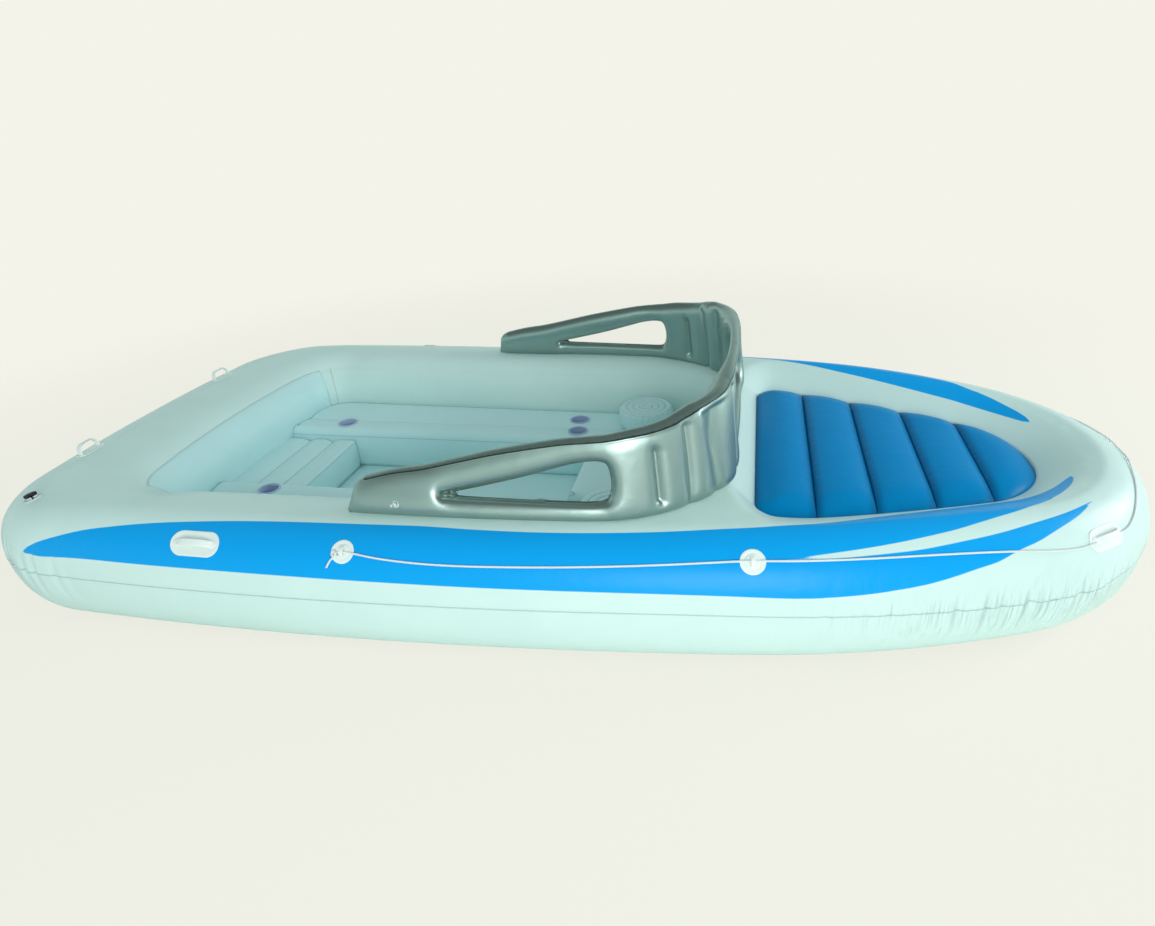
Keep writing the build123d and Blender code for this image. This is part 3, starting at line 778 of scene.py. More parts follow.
def sunpad():
    """Grid of stations against the part of the half width, with a height for each point."""
    stations = [908.0 + 2 * (1 - np.cos(np.linspace(0, np.pi / 2, 4)))]
    for a, b in zip(PAD_SEAMS, PAD_SEAMS[1:]):
        stations.append(a + (b - a) * (1 - np.cos(np.linspace(0.03, np.pi - 0.03, 34))) / 2)
    x = np.unique(np.concatenate(stations))
    x = x[(x > 910.2) & (x < 2065.0)]
    v = np.sin(np.linspace(-np.pi / 2, np.pi / 2, 121))
    v = 0.5 * v + 0.5 * np.linspace(-1, 1, 121)
    grid_x, grid_v = np.meshgrid(x, v, indexing="ij")
    y = grid_v * (pad_half_width(grid_x) - 0.5)
    spots = np.stack([grid_x.ravel(), y.ravel()], -1)
    to_edge = np.maximum(-set_off(PAD_PLAN, spots)[0], 0.0).reshape(y.shape)
    seams = np.array(PAD_SEAMS)
    k = np.clip(np.searchsorted(seams, grid_x, side="right") - 1, 0, len(seams) - 2)
    part = (grid_x - seams[k]) / (seams[k + 1] - seams[k])
    bulge = np.sqrt(np.clip(1.0 - (2.0 * part - 1.0) ** 2, 0.0, 1.0))
    # The rim holds the tubes down over the last 150 mm
    rim = np.sqrt(np.clip(1.0 - (1.0 - np.minimum(to_edge / 150.0, 1.0)) ** 2, 0.0, 1.0)) ** 1.2
    # Short folds run out of each weld
    fold = np.sin(y / 11.0 + 3.0 * np.sin(y / 47.0)) * np.exp(-(np.minimum(part, 1 - part) * TUBE / 22.0) ** 2)
    height = pad_edge_height(grid_x) - 8.0 + 40.0 * bulge ** 0.9 * rim + 12.0 * rim + 0.9 * fold * rim
    return np.stack([grid_x, y, height], -1), 1.0 + np.minimum(part, 1 - part) * (TUBE / 1000.0)


pad_grid, pad_weld = sunpad()
skirt_low = pad_grid.copy()
skirt_low[..., 2] = PAD_FOOT
shape = pad_grid.shape[:2]
print("sunpad:", shape, "top", pad_grid[..., 2].max().round(1))
top_faces = grid_faces(*shape, False)
pad = make_piece("sunpad_tubes", np.concatenate([pad_grid.reshape(-1, 3), skirt_low.reshape(-1, 3)]),
                 [top_faces, top_faces[:, ::-1] + shape[0] * shape[1], wall_faces(*shape)], PAD_VINYL,
                 {"weld": np.concatenate([pad_weld.ravel(), np.zeros(pad_weld.size)])},
                 replaces=("sunpad",))

# %% [markdown]
# ## Windscreen
# The windscreen is two silver sheets welded together all round, round its openings and along short
# lines that draw them into upright tubes. Blown up, the gap between the sheets is widest half way
# between welds. So it is drawn as one flat outline with a thickness: near a weld the thickness
# grows like the edge of a round tube, and farther in it follows a taut sheet under pressure. The
# flat outline is bent round the plan of the windscreen's foot and leans inward.

# %% Swollen sheets
def membrane(open_part, cell, rounds=1400):
    """Height that an even pressure gives a taut flat sheet held at its edges.

    Its curvature is the same everywhere, so each point lies a quarter of a cell squared above the
    mean of its four neighbours. The rounds carry that from point to point.
    """
    h = np.zeros(open_part.shape)
    inner = open_part[1:-1, 1:-1]
    for _ in range(rounds):
        beside = h[:-2, 1:-1] + h[2:, 1:-1] + h[1:-1, :-2] + h[1:-1, 2:]
        h[1:-1, 1:-1] = np.where(inner, (beside + cell * cell) / 4.0, 0.0)
    return h


def spread(field, rounds):
    """Field after some rounds in which each point becomes the mean of itself and its four neighbours."""
    for _ in range(rounds):
        wide = np.pad(field, 1, mode="edge")
        field = (field + wide[:-2, 1:-1] + wide[2:, 1:-1] + wide[1:-1, :-2] + wide[1:-1, 2:]) / 5.0
    return field


THICKEST = 48.0


def swollen_sheet(outline, holes, creases, half_thick, cell, flange):
    """Flat grid of a welded sheet: spots, slope and way in from the edge, turn, squeeze and faces.

    A grid of cells is laid over the outline, and points near an edge move onto it. The flange beside
    a hole stays flat. Past it the turn grows from 0 at the weld to 90 degrees at one half thickness
    in, and the points close up, so that even turns carry the thickness round. The squeeze is what
    half the thickness times the sine of the turn is multiplied by. Past the round edge it leads to
    the root of twice the membrane's height, since that root is a circle between straight welds. It
    levels off near THICKEST. At a crease it falls to a twenty-fifth.
    """
    low, high = outline.min(0) - cell, outline.max(0) + cell
    along, upward = np.arange(low[0], high[0] + cell, cell), np.arange(low[1], high[1] + cell, cell)
    u, v = np.meshgrid(along, upward, indexing="ij")
    spots = np.stack([u.ravel(), v.ravel()], -1)

    def depth_into(loop):
        away = clearance(spots, loop)
        return np.where(inside(spots, loop), away, -away)

    deep = depth_into(outline)
    from_hole = np.full(len(spots), 1e4)
    for hole in holes:
        from_hole = np.minimum(from_hole, -depth_into(hole))
    swell = np.minimum(deep, from_hole - flange)
    height = membrane((swell > 0).reshape(u.shape), cell)
    deep = np.minimum(deep, from_hole)
    slope_u, slope_v = np.gradient(deep.reshape(u.shape), cell)
    steep = np.maximum(np.hypot(slope_u, slope_v), 0.3)
    slope = np.stack([(slope_u / steep).ravel(), (slope_v / steep).ravel()], -1)
    near = np.abs(deep) < 0.6 * cell
    spots[near] -= deep[near, None] * slope[near]
    swell[near] -= deep[near]
    deep[near] = 0.0
    turn = np.clip(swell / half_thick, 0.0, 1.0) * np.pi / 2
    closer = half_thick * (1.0 - np.cos(turn)) - half_thick * turn * 2 / np.pi
    spots += (closer * (deep > 0))[:, None] * slope
    # Thickness of the membrane where the points now lie, by the four cells round each
    place = (spots - [along[0], upward[0]]) / cell
    corner = np.clip(place.astype(int), 0, np.array(u.shape) - 2)
    part = place - corner
    i, j, p, q = corner[:, 0], corner[:, 1], part[:, 0], part[:, 1]
    pressed = ((height[i, j] * (1 - p) + height[i + 1, j] * p) * (1 - q)
               + (height[i, j + 1] * (1 - p) + height[i + 1, j + 1] * p) * q)
    free = np.sqrt(2.0 * np.maximum(pressed, 0.0)) + 1e-3
    thick = ((free ** -4.0 + THICKEST ** -4.0) ** -0.25).reshape(u.shape)
    ideal = (half_thick * np.sin(turn)).reshape(u.shape)
    swollen = swell.reshape(u.shape)
    # Beside a weld the round edge keeps its shape and takes only the membrane's share of its size
    sure = 1.0 * (swollen > 20.0)
    weight = spread(sure, 14)
    share = spread(np.clip(thick / np.maximum(ideal, 4.0), 0.6, 1.05) * sure, 14) / np.maximum(weight, 1e-6)
    share = np.where(weight > 1e-3, share, 0.85)
    inward = step(swollen, 10.0, 34.0)
    full = ideal * share * (1.0 - inward) + thick * inward
    full += (spread(full, 10) - full) * step(swollen, 8.0, 20.0)
    squeeze = np.where(ideal > 6.0, full / np.maximum(ideal, 6.0), share)
    squeeze += (spread(squeeze, 3) - squeeze) * step(swollen, 2.0, 8.0)
    for start, end, width in creases:
        away = np.hypot(clearance(spots, np.array([start, end], float)), 5.0).reshape(u.shape)
        squeeze *= 0.04 + 0.96 * np.sqrt(np.clip(1.0 - (1.0 - np.minimum(away / width, 1.0)) ** 2, 0.0, 1.0))
    squeeze = squeeze.ravel()
    quads = grid_faces(u.shape[0], u.shape[1], False)
    good = deep[quads] >= 0
    whole = quads[good.all(1)]
    most, short = quads[good.sum(1) == 3], good[good.sum(1) == 3]
    order = ((~short).argmax(1)[:, None] + np.array([1, 2, 3])) % 4
    return spots, slope, deep, turn, squeeze, [whole, np.take_along_axis(most, order, 1)]


def two_sided(spots, slope, deep, turn, squeeze, faces, half_thick, roll, bend):
    """Points and faces of both sheets, which share their edge points, and each point's place in the grid.

    Roll slides the weld round the edge tube towards the outer side: a point at a turn t from the weld
    comes to roll + t (1 - roll / 90 degrees) on the outer side, and to roll less as much as on the other.
    """
    used = np.unique(np.concatenate([f.ravel() for f in faces]))
    number = np.full(len(spots), -1)
    number[used] = np.arange(len(used))
    spots, slope, turn, squeeze, roll = spots[used], slope[used], turn[used], squeeze[used], roll[used]
    sheets = []
    for side in (1.0, -1.0):
        now = roll + side * turn * (1.0 - side * roll / (np.pi / 2))
        moved = spots + slope * (half_thick * (np.cos(turn) - np.cos(now)))[:, None]
        sheets.append(bend(moved, half_thick * np.sin(now) * squeeze + side * 0.4 * (deep[used] > 0)))
    open_part = np.where(deep[used] > 0)[0]
    back = np.arange(len(used))
    back[open_part] = len(used) + np.arange(len(open_part))
    front = [number[f] for f in faces]
    both = [f[:, ::-1] for f in front] + [back[f] for f in front]
    return np.concatenate([sheets[0], sheets[1][open_part]]), both, np.concatenate([used, used[open_part]]), len(used)


# %% Windscreen outline
SCREEN_PLAN = (-1060.0, [(567, 400, 90.0), (0, 10650, 5.1), (0, 604, 9.6), (0, 646, 44.5), (0, 157, 28.1)])
SCREEN_UPPER_PLAN = (-1060.0, [(360, 400, 83.1), (0, 15373, 3.5), (0, 1216, 7.2), (0, 389, 47.1), (0, 444, 28.9)])
SCREEN_FOOT = 536.0
SCREEN_RISE = 420.0
SCREEN_HALF = 44.0
# Way along the foot from the middle of the bow against the height of the top edge
SCREEN_TOP = [(0, 930), (300, 928), (461, 923), (581, 918), (712, 903), (790, 889), (899, 877), (1020, 868),
              (1166, 850), (1271, 834), (1391, 812), (1520, 786), (1660, 753), (1795, 722), (1925, 700), (2040, 672)]
SCREEN_END = [(2072, 655), (2090, 638), (2112, 585), (2128, 550), (2131, 536)]
OPENING = [(1722, 621), (1575, 653), (1422, 690), (1290, 727), (1190, 754), (1139, 758), (1112, 742), (1100, 700),
           (1100, 660), (1112, 625), (1150, 611), (1300, 611), (1500, 614), (1640, 616)]
WINDOW = [(0, 868), (200, 868), (310, 862), (372, 838), (404, 790), (414, 720), (408, 660), (380, 622), (300, 607),
          (0, 606)]
# Both ends of each crease and its half width
CREASES = [((922, 600), (904, 785), 55.0), ((797, 549), (728, 852), 60.0), ((662, 549), (593, 872), 60.0),
           ((520, 552), (475, 880), 52.0)]


def slanted(table):
    """Heights turned into heights above the foot."""
    return np.array(table, float) - [0.0, SCREEN_FOOT]


def mirrored(table):
    """A table given for one side, run from the other side to this one."""
    p = np.array(table, float)
    flipped = p[::-1] * [-1, 1]
    return np.concatenate([flipped[:-1] if p[0, 0] == 0 else flipped, p])


half_top = np.concatenate([smooth_line(SCREEN_TOP), SCREEN_END])
screen_outline = slanted(mirrored(half_top))
opening = slanted(smooth_line(OPENING + OPENING[:1]))[:-1]
half_window = smooth_line(WINDOW)
window = slanted(np.concatenate([half_window, (half_window * [-1, 1])[::-1][1:-1]]))
creases = []
for a, b, width in CREASES:
    a, b = slanted([a, b])
    creases += [(a, b, width), (a * [-1, 1], b * [-1, 1], width)]


def plan_ladder(count=400):
    """Matching points of the windscreen's two plans: arc against arc, as ways from the middle of the bow."""
    lower, upper = half_chain(SCREEN_PLAN), half_chain(SCREEN_UPPER_PLAN)
    part = np.linspace(0.0, 1.0, count)
    foot = np.concatenate([row[0] + row[5] * part for row in lower])
    top = np.concatenate([row[0] + row[5] * part for row in upper])
    return lower[-1, 0] + lower[-1, 5] - foot[::-1], top[::-1], foot[::-1]


way_at, top_at, foot_at = plan_ladder()


def bend_screen(spots, thick):
    """Bend the flat outline between the two plans and give it its thickness.

    A way along the foot leads to a place on each plan, and the height says how far the point lies
    from the lower towards the upper place.
    """
    way, side = np.abs(spots[:, 0]), np.where(spots[:, 0] > 0, -1.0, 1.0)
    low, out = on_plan(SCREEN_PLAN, np.interp(way, way_at, foot_at))
    high, out_high = on_plan(SCREEN_UPPER_PLAN, np.interp(way, way_at, top_at))
    part = (spots[:, 1] / SCREEN_RISE)[:, None]
    line, out = low + (high - low) * part, out + (out_high - out) * part
    out /= np.linalg.norm(out, axis=1)[:, None]
    lean = ((high - low) * out).sum(1) / -SCREEN_RISE
    tilt = np.arctan(lean)
    place = line + out * (thick * np.cos(tilt))[:, None]
    height = SCREEN_FOOT + spots[:, 1] + thick * np.sin(tilt)
    place[:, 1] *= side
    return np.concatenate([place, height[:, None]], -1)


sheet = swollen_sheet(screen_outline, [opening, opening * [-1, 1], window], creases, SCREEN_HALF, cell=6.5, flange=7.0)
top_line = slanted(mirrored(smooth_line(SCREEN_TOP)))
from_top = clearance(sheet[0], np.concatenate([top_line, top_line[::-1] + [0, 0.01]]))
# Along the top the weld sits on the outer side of the tube, 42 degrees round from its crown
roll = radians(42.0) * (1.0 - step(from_top - sheet[2], 2.0, 30.0)) * (1.0 - step(from_top, 40.0, 60.0))
screen_points, screen_faces, origin, outer_count = two_sided(*sheet, SCREEN_HALF, roll, bend_screen)
screen_weld = 1.0 + (from_top[origin] - 3.0) / 1000.0
screen_weld[outer_count:] = 1.2
windscreen = make_piece("windscreen_swollen", screen_points, screen_faces, SCREEN_VINYL,
                        {"weld": screen_weld}, joined=False,
                        replaces=("windscreen_front", "windscreen_rail_port", "windscreen_rail_starboard"))

# %% Window film
FILM_WELD = 9.0
FILM_HALF = 0.3


def film_outline():
    """The window's outline, moved outward so that the film's edge is welded between the two sheets."""
    line = even_loop(window, 12.0, 0.0)
    return line + outward(line) * FILM_WELD


def even_loop(loop, pitch, soften):
    """Closed loop with points every pitch or so, its corners rounded by averaging over a length of soften."""
    run = np.roll(loop, -1, axis=0) - loop
    reach = np.concatenate([[0.0], np.cumsum(np.hypot(run[:, 0], run[:, 1]))])
    count = int(round(reach[-1] / pitch))
    closed = np.concatenate([loop, loop[:1]])
    even = np.stack([np.interp(np.arange(count) * reach[-1] / count, reach, closed[:, i]) for i in (0, 1)], -1)
    if soften:
        wave = np.fft.fftfreq(count, reach[-1] / count)
        damp = np.exp(-2.0 * (np.pi * wave * soften) ** 2)[:, None]
        even = np.fft.ifft(np.fft.fft(even, axis=0) * damp, axis=0).real
    area = (even[:, 0] * np.roll(even[:, 1], -1) - even[:, 1] * np.roll(even[:, 0], -1)).sum()
    return even if area > 0 else even[::-1]


def outward(loop):
    """Outward directions of a closed loop that runs anticlockwise."""
    ahead = np.roll(loop, -1, axis=0) - np.roll(loop, 1, axis=0)
    return np.stack([ahead[:, 1], -ahead[:, 0]], -1) / np.hypot(ahead[:, 0], ahead[:, 1])[:, None]


film_flat, film_faces = fill_between(film_outline(), [], 26.0)
ripple = 1.6 * np.sin(film_flat[:, 0] / 61.0 + 0.8) * np.sin(film_flat[:, 1] / 90.0)
ripple *= step(clearance(film_flat, window), 0.0, 60.0) * inside(film_flat, window)
film_points = np.concatenate([bend_screen(film_flat, ripple + half) for half in (FILM_HALF, -FILM_HALF)])
rim = np.arange(len(film_outline()))
film_side = np.stack([rim, rim + len(film_flat), np.roll(rim, -1) + len(film_flat), np.roll(rim, -1)], -1)
make_piece("windscreen_film", film_points, [film_faces, film_faces[:, ::-1] + len(film_flat), film_side],
           CLEAR_FILM, joined=False, replaces=("windscreen_window",))

# %% [markdown]
# ## Seats in the well
# Benches, cushions and the floor are closed boxes of vinyl sheet. Each is drawn from its outline in
# plan. Its sides belly out a little between their welds, its upper edge rolls over, and its top is
# a height over the plan that dips along every weld. The sheet bulges from a dip in a quarter
# circle, as it does beside the real welds.

# %% Blocks with a rolled edge
def clipped(loop, axis, limit, keep):
    """Part of a closed loop beyond a limit along an axis: above it for keep 1, below it for keep -1."""
    value = keep * (loop[:, axis] - limit)
    after, there = np.roll(value, -1), value >= 0
    cross = there != (after >= 0)
    part = (value / np.where(cross, value - after, 1.0))[:, None]
    cuts = loop + (np.roll(loop, -1, axis=0) - loop) * part
    order = np.concatenate([np.where(there)[0], np.where(cross)[0] + 0.5])
    return np.concatenate([loop[there], cuts[cross]])[np.argsort(order)]


def dip(away, deep, reach):
    """How far the sheet lies below its crown at a distance from a weld: a quarter circle."""
    return deep * (1.0 - np.sqrt(1.0 - (1.0 - np.minimum(away / reach, 1.0)) ** 2))


def seam_rows(seams, boundary):
    """Rows of points along each weld and beside it, kept inside a boundary."""
    rows = []
    for start, end in seams:
        a, b = np.array(start, float), np.array(end, float)
        count = max(int(np.linalg.norm(b - a) / 9.0), 2)
        line = a + (b - a) * np.linspace(0, 1, count)[:, None]
        side = np.array([-(b - a)[1], (b - a)[0]]) / np.linalg.norm(b - a)
        for offset in (0.0, -2.0, 2.0, -6.0, 6.0, -13.0, 13.0):
            row = line + side * offset
            row = row[inside(row, boundary) & (clearance(row, boundary) > 4.0)]
            if len(row) > 2:
                rows.append(row)
    return rows


def block(outline, base, top, roll, belly, seams=(), wells=(), pitch=14.0):
    """Points, faces and weld marks of a closed soft box.

    The sides rise from the base with a belly. At the weld under the roll they turn in over a quarter
    circle, and the lid follows the function top. Wells are round holes: X, Y, radius and bottom.
    """
    out = outward(outline)
    lid_height = top(outline - out * (belly + roll))
    share = np.linspace(0.0, 1.0, 10)[:, None]
    inset = belly * (2.0 * share - 1.0) ** 2 + np.zeros(len(outline))
    height = base + (lid_height - roll - base) * share
    turn = np.radians(np.linspace(0.0, 90.0, 10))[1:, None]
    inset = np.concatenate([inset, belly + roll * (1.0 - np.cos(turn)) + np.zeros(len(outline))])
    height = np.concatenate([height, lid_height - roll * (1.0 - np.sin(turn))])
    rings = np.concatenate([outline[None] - out[None] * inset[..., None], height[..., None]], -1)
    girth = np.concatenate([[0.0], np.linalg.norm(np.diff(rings, axis=0), axis=-1).mean(1).cumsum()])
    weld_mark = 1.0 + np.abs(girth - girth[9])[:, None] / 1000.0 + np.zeros(len(outline))
    sides = rings.transpose(1, 0, 2)
    parts = [(sides.reshape(-1, 3), grid_faces(len(outline), len(rings), True), weld_mark.T.ravel())]
    holes = []
    for x, y, radius, low in wells:
        angle = np.linspace(0, 2 * np.pi, 49)[:-1]
        spots = np.stack([x + radius * np.cos(angle), y + radius * np.sin(angle)], -1)
        lip = np.concatenate([spots, top(spots)[:, None]], -1)
        deep = lip.copy()
        deep[:, 2] = low
        holes.append(lip)
        tube = np.stack([lip, deep], 1).reshape(-1, 3)
        parts.append((tube, grid_faces(48, 2, True)[:, ::-1], np.full(96, 1.5)))
        parts.append((deep, np.arange(48)[None], np.full(48, 1.5)))
    lid, lid_faces = sheet_between([rings[-1]] + holes, pitch, top, seam_rows(seams, rings[-1][:, :2]))
    mark = np.full(len(lid), 1.5)
    for start, end in seams:
        mark = np.minimum(mark, 1.0 + clearance(lid[:, :2], np.array([start, end], float)) / 1000.0)
    parts.append((lid, lid_faces, mark))
    under, under_faces = sheet_between([rings[0]], 130.0, lambda spots: np.full(len(spots), base))
    parts.append((under, under_faces[:, ::-1], np.full(len(under), 1.5)))
    starts = np.cumsum([0] + [len(p) for p, _, _ in parts])
    faces = [f + start for (_, f, _), start in zip(parts, starts)]
    return np.concatenate([p for p, _, _ in parts]), faces, {"weld": np.concatenate([m for _, _, m in parts])}


# %% Benches and floor
def well_part(limits, soften):
    """Outline of the part of the well's plan within limits, each an axis, a value and the side kept."""
    line, out = around(WELL_PLAN, 1200)
    loop = line - out * 2.0
    for axis, limit, keep in limits:
        loop = clipped(loop, axis, limit, keep)
    return even_loop(loop, 10.0, soften)


BENCH_TOP = 280.0
BENCH_BASE = 52.0
GROOVE = 470.0
MIDDLE_HALF = 308.5
# Places of the cups, and the radius and depth of the wells that hold them
CUPS = [(-1410, 402), (-29, 404), (-50, 552)]
CUP_WELL = (49.6, 89.0)


def seat(name, made, solid):
    """Padded piece of the well from the points, faces and marks that block gives, over its CAD solid."""
    points, faces, marks = made
    pad = make_piece(name, points, faces, WELL_VINYL, marks, replaces=(solid,))


def bench_top(spots):
    """Two tubes side by side, level round the cups' rims."""
    away = np.abs(np.abs(spots[:, 1]) - GROOVE)
    front = np.abs(spots[:, 1]) < GROOVE
    height = BENCH_TOP - 0.3 - dip(away, 20.0, np.where(front, 84.0, 120.0))
    fold = np.sin(spots[:, 0] / 15.0 + 2.0 * np.sin(spots[:, 0] / 61.0)) * np.exp(-(away / 24.0) ** 2)
    height += 0.8 * fold * step(away, 0.0, 8.0)
    for x, y in CUPS:
        near = np.hypot(spots[:, 0] - x, np.abs(spots[:, 1]) - y)
        height += (BENCH_TOP - 0.2 - height) * (1.0 - step(near, 57.0, 80.0))
    return np.minimum(height, BENCH_TOP - 0.2)


for side, label in ((1, "port"), (-1, "starboard")):
    outline = well_part([(1, side * 311.0, side)], 24.0)
    cups = [(x, side * y, CUP_WELL[0], BENCH_TOP - CUP_WELL[1]) for x, y in CUPS]
    made = block(outline, BENCH_BASE, bench_top, 44.0, 7.0, [((-1790, side * GROOVE), (760, side * GROOVE))], cups)
    seat("side_bench_pad_" + label, made, "side_bench_" + label)


def ribbed(height, deep, reach, places, axis):
    """Height over the plan with a dip at each place along an axis."""
    def top(spots):
        away = np.min([np.abs(spots[:, axis] - place) for place in places], axis=0)
        return height - dip(away, deep, reach)
    return top


RIBS = [-1466.5, -1613.0]
between = [(1, -MIDDLE_HALF, 1), (1, MIDDLE_HALF, -1)]
outline = well_part(between + [(0, -1321.0, -1)], 7.0)
ribs = [((x, -320), (x, 320)) for x in RIBS]
seat("stern_bench_pad", block(outline, BENCH_BASE, ribbed(222.0, 26.0, 74.0, RIBS, 0), 15.0, 6.0, ribs),
     "stern_bench")

outline = well_part(between + [(0, 61.0, 1)], 14.0)
top = ribbed(BENCH_TOP - 0.3, 15.0, 60.0, [420.0], 0)
seat("bow_bench_pad", block(outline, BENCH_BASE, top, 40.0, 7.0, [((420, -320), (420, 320))]), "bow_bench")

outline = well_part([], 0.0)
top = ribbed(50.0, 8.0, 60.0, [-1330.0, 70.0], 0)
seat("well_floor_pad", block(outline, 1.0, top, 14.0, 2.0, [((-630, -760), (-630, 760))], pitch=30.0),
     "cockpit_floor")

# %% [markdown]
# ## Backrest
# The stern wall of the well is a leaning pillow, welded along the rim and down a gusset in each
# corner, where the sheet gathers in upright folds.

# %% Backrest
def backrest():
    """Front and back of the pillow over the stern wall, as grids by way along it and height up it."""
    way = np.linspace(-CORNER + 44.0, CORNER - 44.0, 161)
    turn = np.linspace(0.0, RIM_TURN - 0.6, 34)
    wall, out = well_section(*np.meshgrid(way, turn, indexing="ij"))
    low = np.repeat(wall[:, :1], 12, axis=1)
    low[..., 2] = np.linspace(56.0, 272.0, 12)
    wall = np.concatenate([low, wall], 1)
    along, upward = np.gradient(wall, axis=0), np.gradient(wall, axis=1)
    normal = np.cross(along, upward)
    normal *= -np.sign((normal[..., :2] * out[:, :1]).sum(-1))[..., None] / np.linalg.norm(normal, axis=-1)[..., None]
    u = (way / way[-1])[:, None]
    rise = np.linalg.norm(upward, axis=-1).cumsum(1)
    v = rise / rise[:, -1:]
    bulge = np.sqrt(np.clip(1.0 - np.abs(u) ** 6, 0.0, 1.0)) * np.sqrt(np.clip(1.0 - v ** 7, 0.0, 1.0))
    # Upright folds where the ends gather
    edge = (1.0 - np.abs(u)) * way[-1]
    folds = 3.0 * np.sin(edge / 7.0 + 1.2 * np.sin(v * 9.0)) * np.exp(-(edge / 46.0) ** 2) * step(edge, 0.0, 10.0)
    thick = 2.0 + 15.0 * bulge + folds * (v < 0.97)
    return wall + normal * thick[..., None], wall + normal * 0.8, rise, edge


front, back, rise, edge = backrest()
shape = front.shape[:2]
top_faces = grid_faces(*shape, False)
mark = 1.0 + np.minimum(rise[:, -1:] - rise, edge) / 1000.0 + 0.004
pillow = make_piece("stern_backrest_pillow", np.concatenate([front.reshape(-1, 3), back.reshape(-1, 3)]),
                    [top_faces, top_faces[:, ::-1] + mark.size, wall_faces(*shape)], WELL_VINYL,
                    {"weld": np.concatenate([mark.ravel(), np.full(mark.size, 1.5)])},
                    replaces=("stern_backrest",))

# %% [markdown]
# ## Round cushions
# Each forward corner has a round cushion whose top is welded in rings round a button. It is turned
# from a profile, and its side is gathered in short folds.

# %% Turned shapes
def turned(profile, count=64, half_run=0.0):
    """Shape turned about the upright: points, faces, and each point's angle and radius.

    Both ends of the profile lie by the axis. With a half run the shape is parted and joined by
    straight sides, as a stadium is.
    """
    profile = np.array(profile, float)
    angle = (np.arange(count) + 0.5) * 2 * np.pi / count
    turn_x, turn_y = np.cos(angle), np.sin(angle)
    r, w = profile[:, 0], profile[:, 1]
    u = turn_x[:, None] * r + np.sign(turn_x)[:, None] * half_run
    v = turn_y[:, None] * r
    grid = np.stack([u, v, np.broadcast_to(w, u.shape)], -1)
    number = np.arange(count * len(r)).reshape(count, len(r))
    faces = [grid_faces(count, len(r), True), number[::-1, 0][None], number[:, -1][None]]
    return grid.reshape(-1, 3), faces, np.repeat(angle, len(r)), np.tile(r, count)


def ringed_profile():
    """Profile of the cushion from under its middle, up its side and over the rings to the button."""
    side = [(2, 0.4), (122, 0.4), (134, 4), (141, 14), (144.5, 32), (145, 55), (144, 78), (140, 95), (135, 103)]
    seams = [135.0, 104.0, 70.0, 36.0, 15.0]
    top = []
    for outer, inner in zip(seams, seams[1:]):
        part = (1 - np.cos(np.linspace(0.12, np.pi - 0.12, 11))) / 2
        lift = 7.0 * np.sqrt(1.0 - (2.0 * part - 1.0) ** 2)
        top += list(zip(outer + (inner - outer) * part, 101.5 + lift))
    button = [(15, 100), (13, 104), (9, 106), (4, 106.6), (1, 106.6)]
    return side + top + button


for side, label in ((1, "port"), (-1, "starboard")):
    points, faces, angle, radius = turned(ringed_profile(), 180)
    gather = 1.0 + 0.016 * np.sin(29 * angle + 2 * np.sin(5 * angle)) * np.exp(-((points[:, 2] - 85) / 26.0) ** 2)
    gather += 0.010 * np.sin(31 * angle) * np.exp(-((points[:, 2] - 12) / 16.0) ** 2)
    gather = np.where(radius > 110, gather, 1.0)
    dent = 0.8 * np.sin(24 * angle + np.sin(3 * angle)) * (radius < 134) * (points[:, 2] > 90) * (radius > 18)
    points[:, :2] *= gather[:, None]
    points[:, 2] += dent
    mark = 1.0 + np.min([np.abs(radius - r) for r in (104.0, 70.0, 36.0)], axis=0) / 1000.0
    mark = np.where(points[:, 2] > 90, mark, 1.5)
    points += [330.0, side * 530.0, BENCH_TOP + 0.3]
    cushion = make_piece("corner_cushion_ringed_" + label, points, faces, WELL_VINYL, {"weld": mark}, joined=False,
                         replaces=("corner_cushion_" + label,))

# %% [markdown]
# ## Fittings on the skin
# Patches, pads and straps are moulded flat and welded on, so they follow the hull's skin. Each is
# drawn flat, then laid on: one measure runs forward along the hull, one up the skin and one out.

# %% Laying things on the skin
def on_skin(way, height, side):
    """Function that lays flat points on the flank round a place.

    The place is given by its way back from the middle of the bow along the plan and its height.
    """
    distance = girth / 2 - way
    line, _ = on_plan(HULL_PLAN, np.array([distance]))
    middle, crest = weld_at(line[:, 0]), crest_at(line[:, 0])
    high = ((height - middle) / (crest - middle))[0]
    start = np.degrees(np.arctan2(high, (1.0 - high ** FULLNESS) ** (1.0 / FULLNESS)))
    table = np.linspace(start - 30.0, min(start + 30.0, 90.0), 241)
    row = flank(np.full(table.shape, distance), table)
    reach = np.concatenate([[0.0], np.linalg.norm(np.diff(row, axis=0), axis=-1).cumsum()])
    reach -= np.interp(start, table, reach)

    def lay(points):
        p = np.atleast_2d(points)
        placed = flank(distance + p[:, 0], np.interp(p[:, 1], reach, table), p[:, 2:])
        return placed * [1.0, side, 1.0]
    return lay


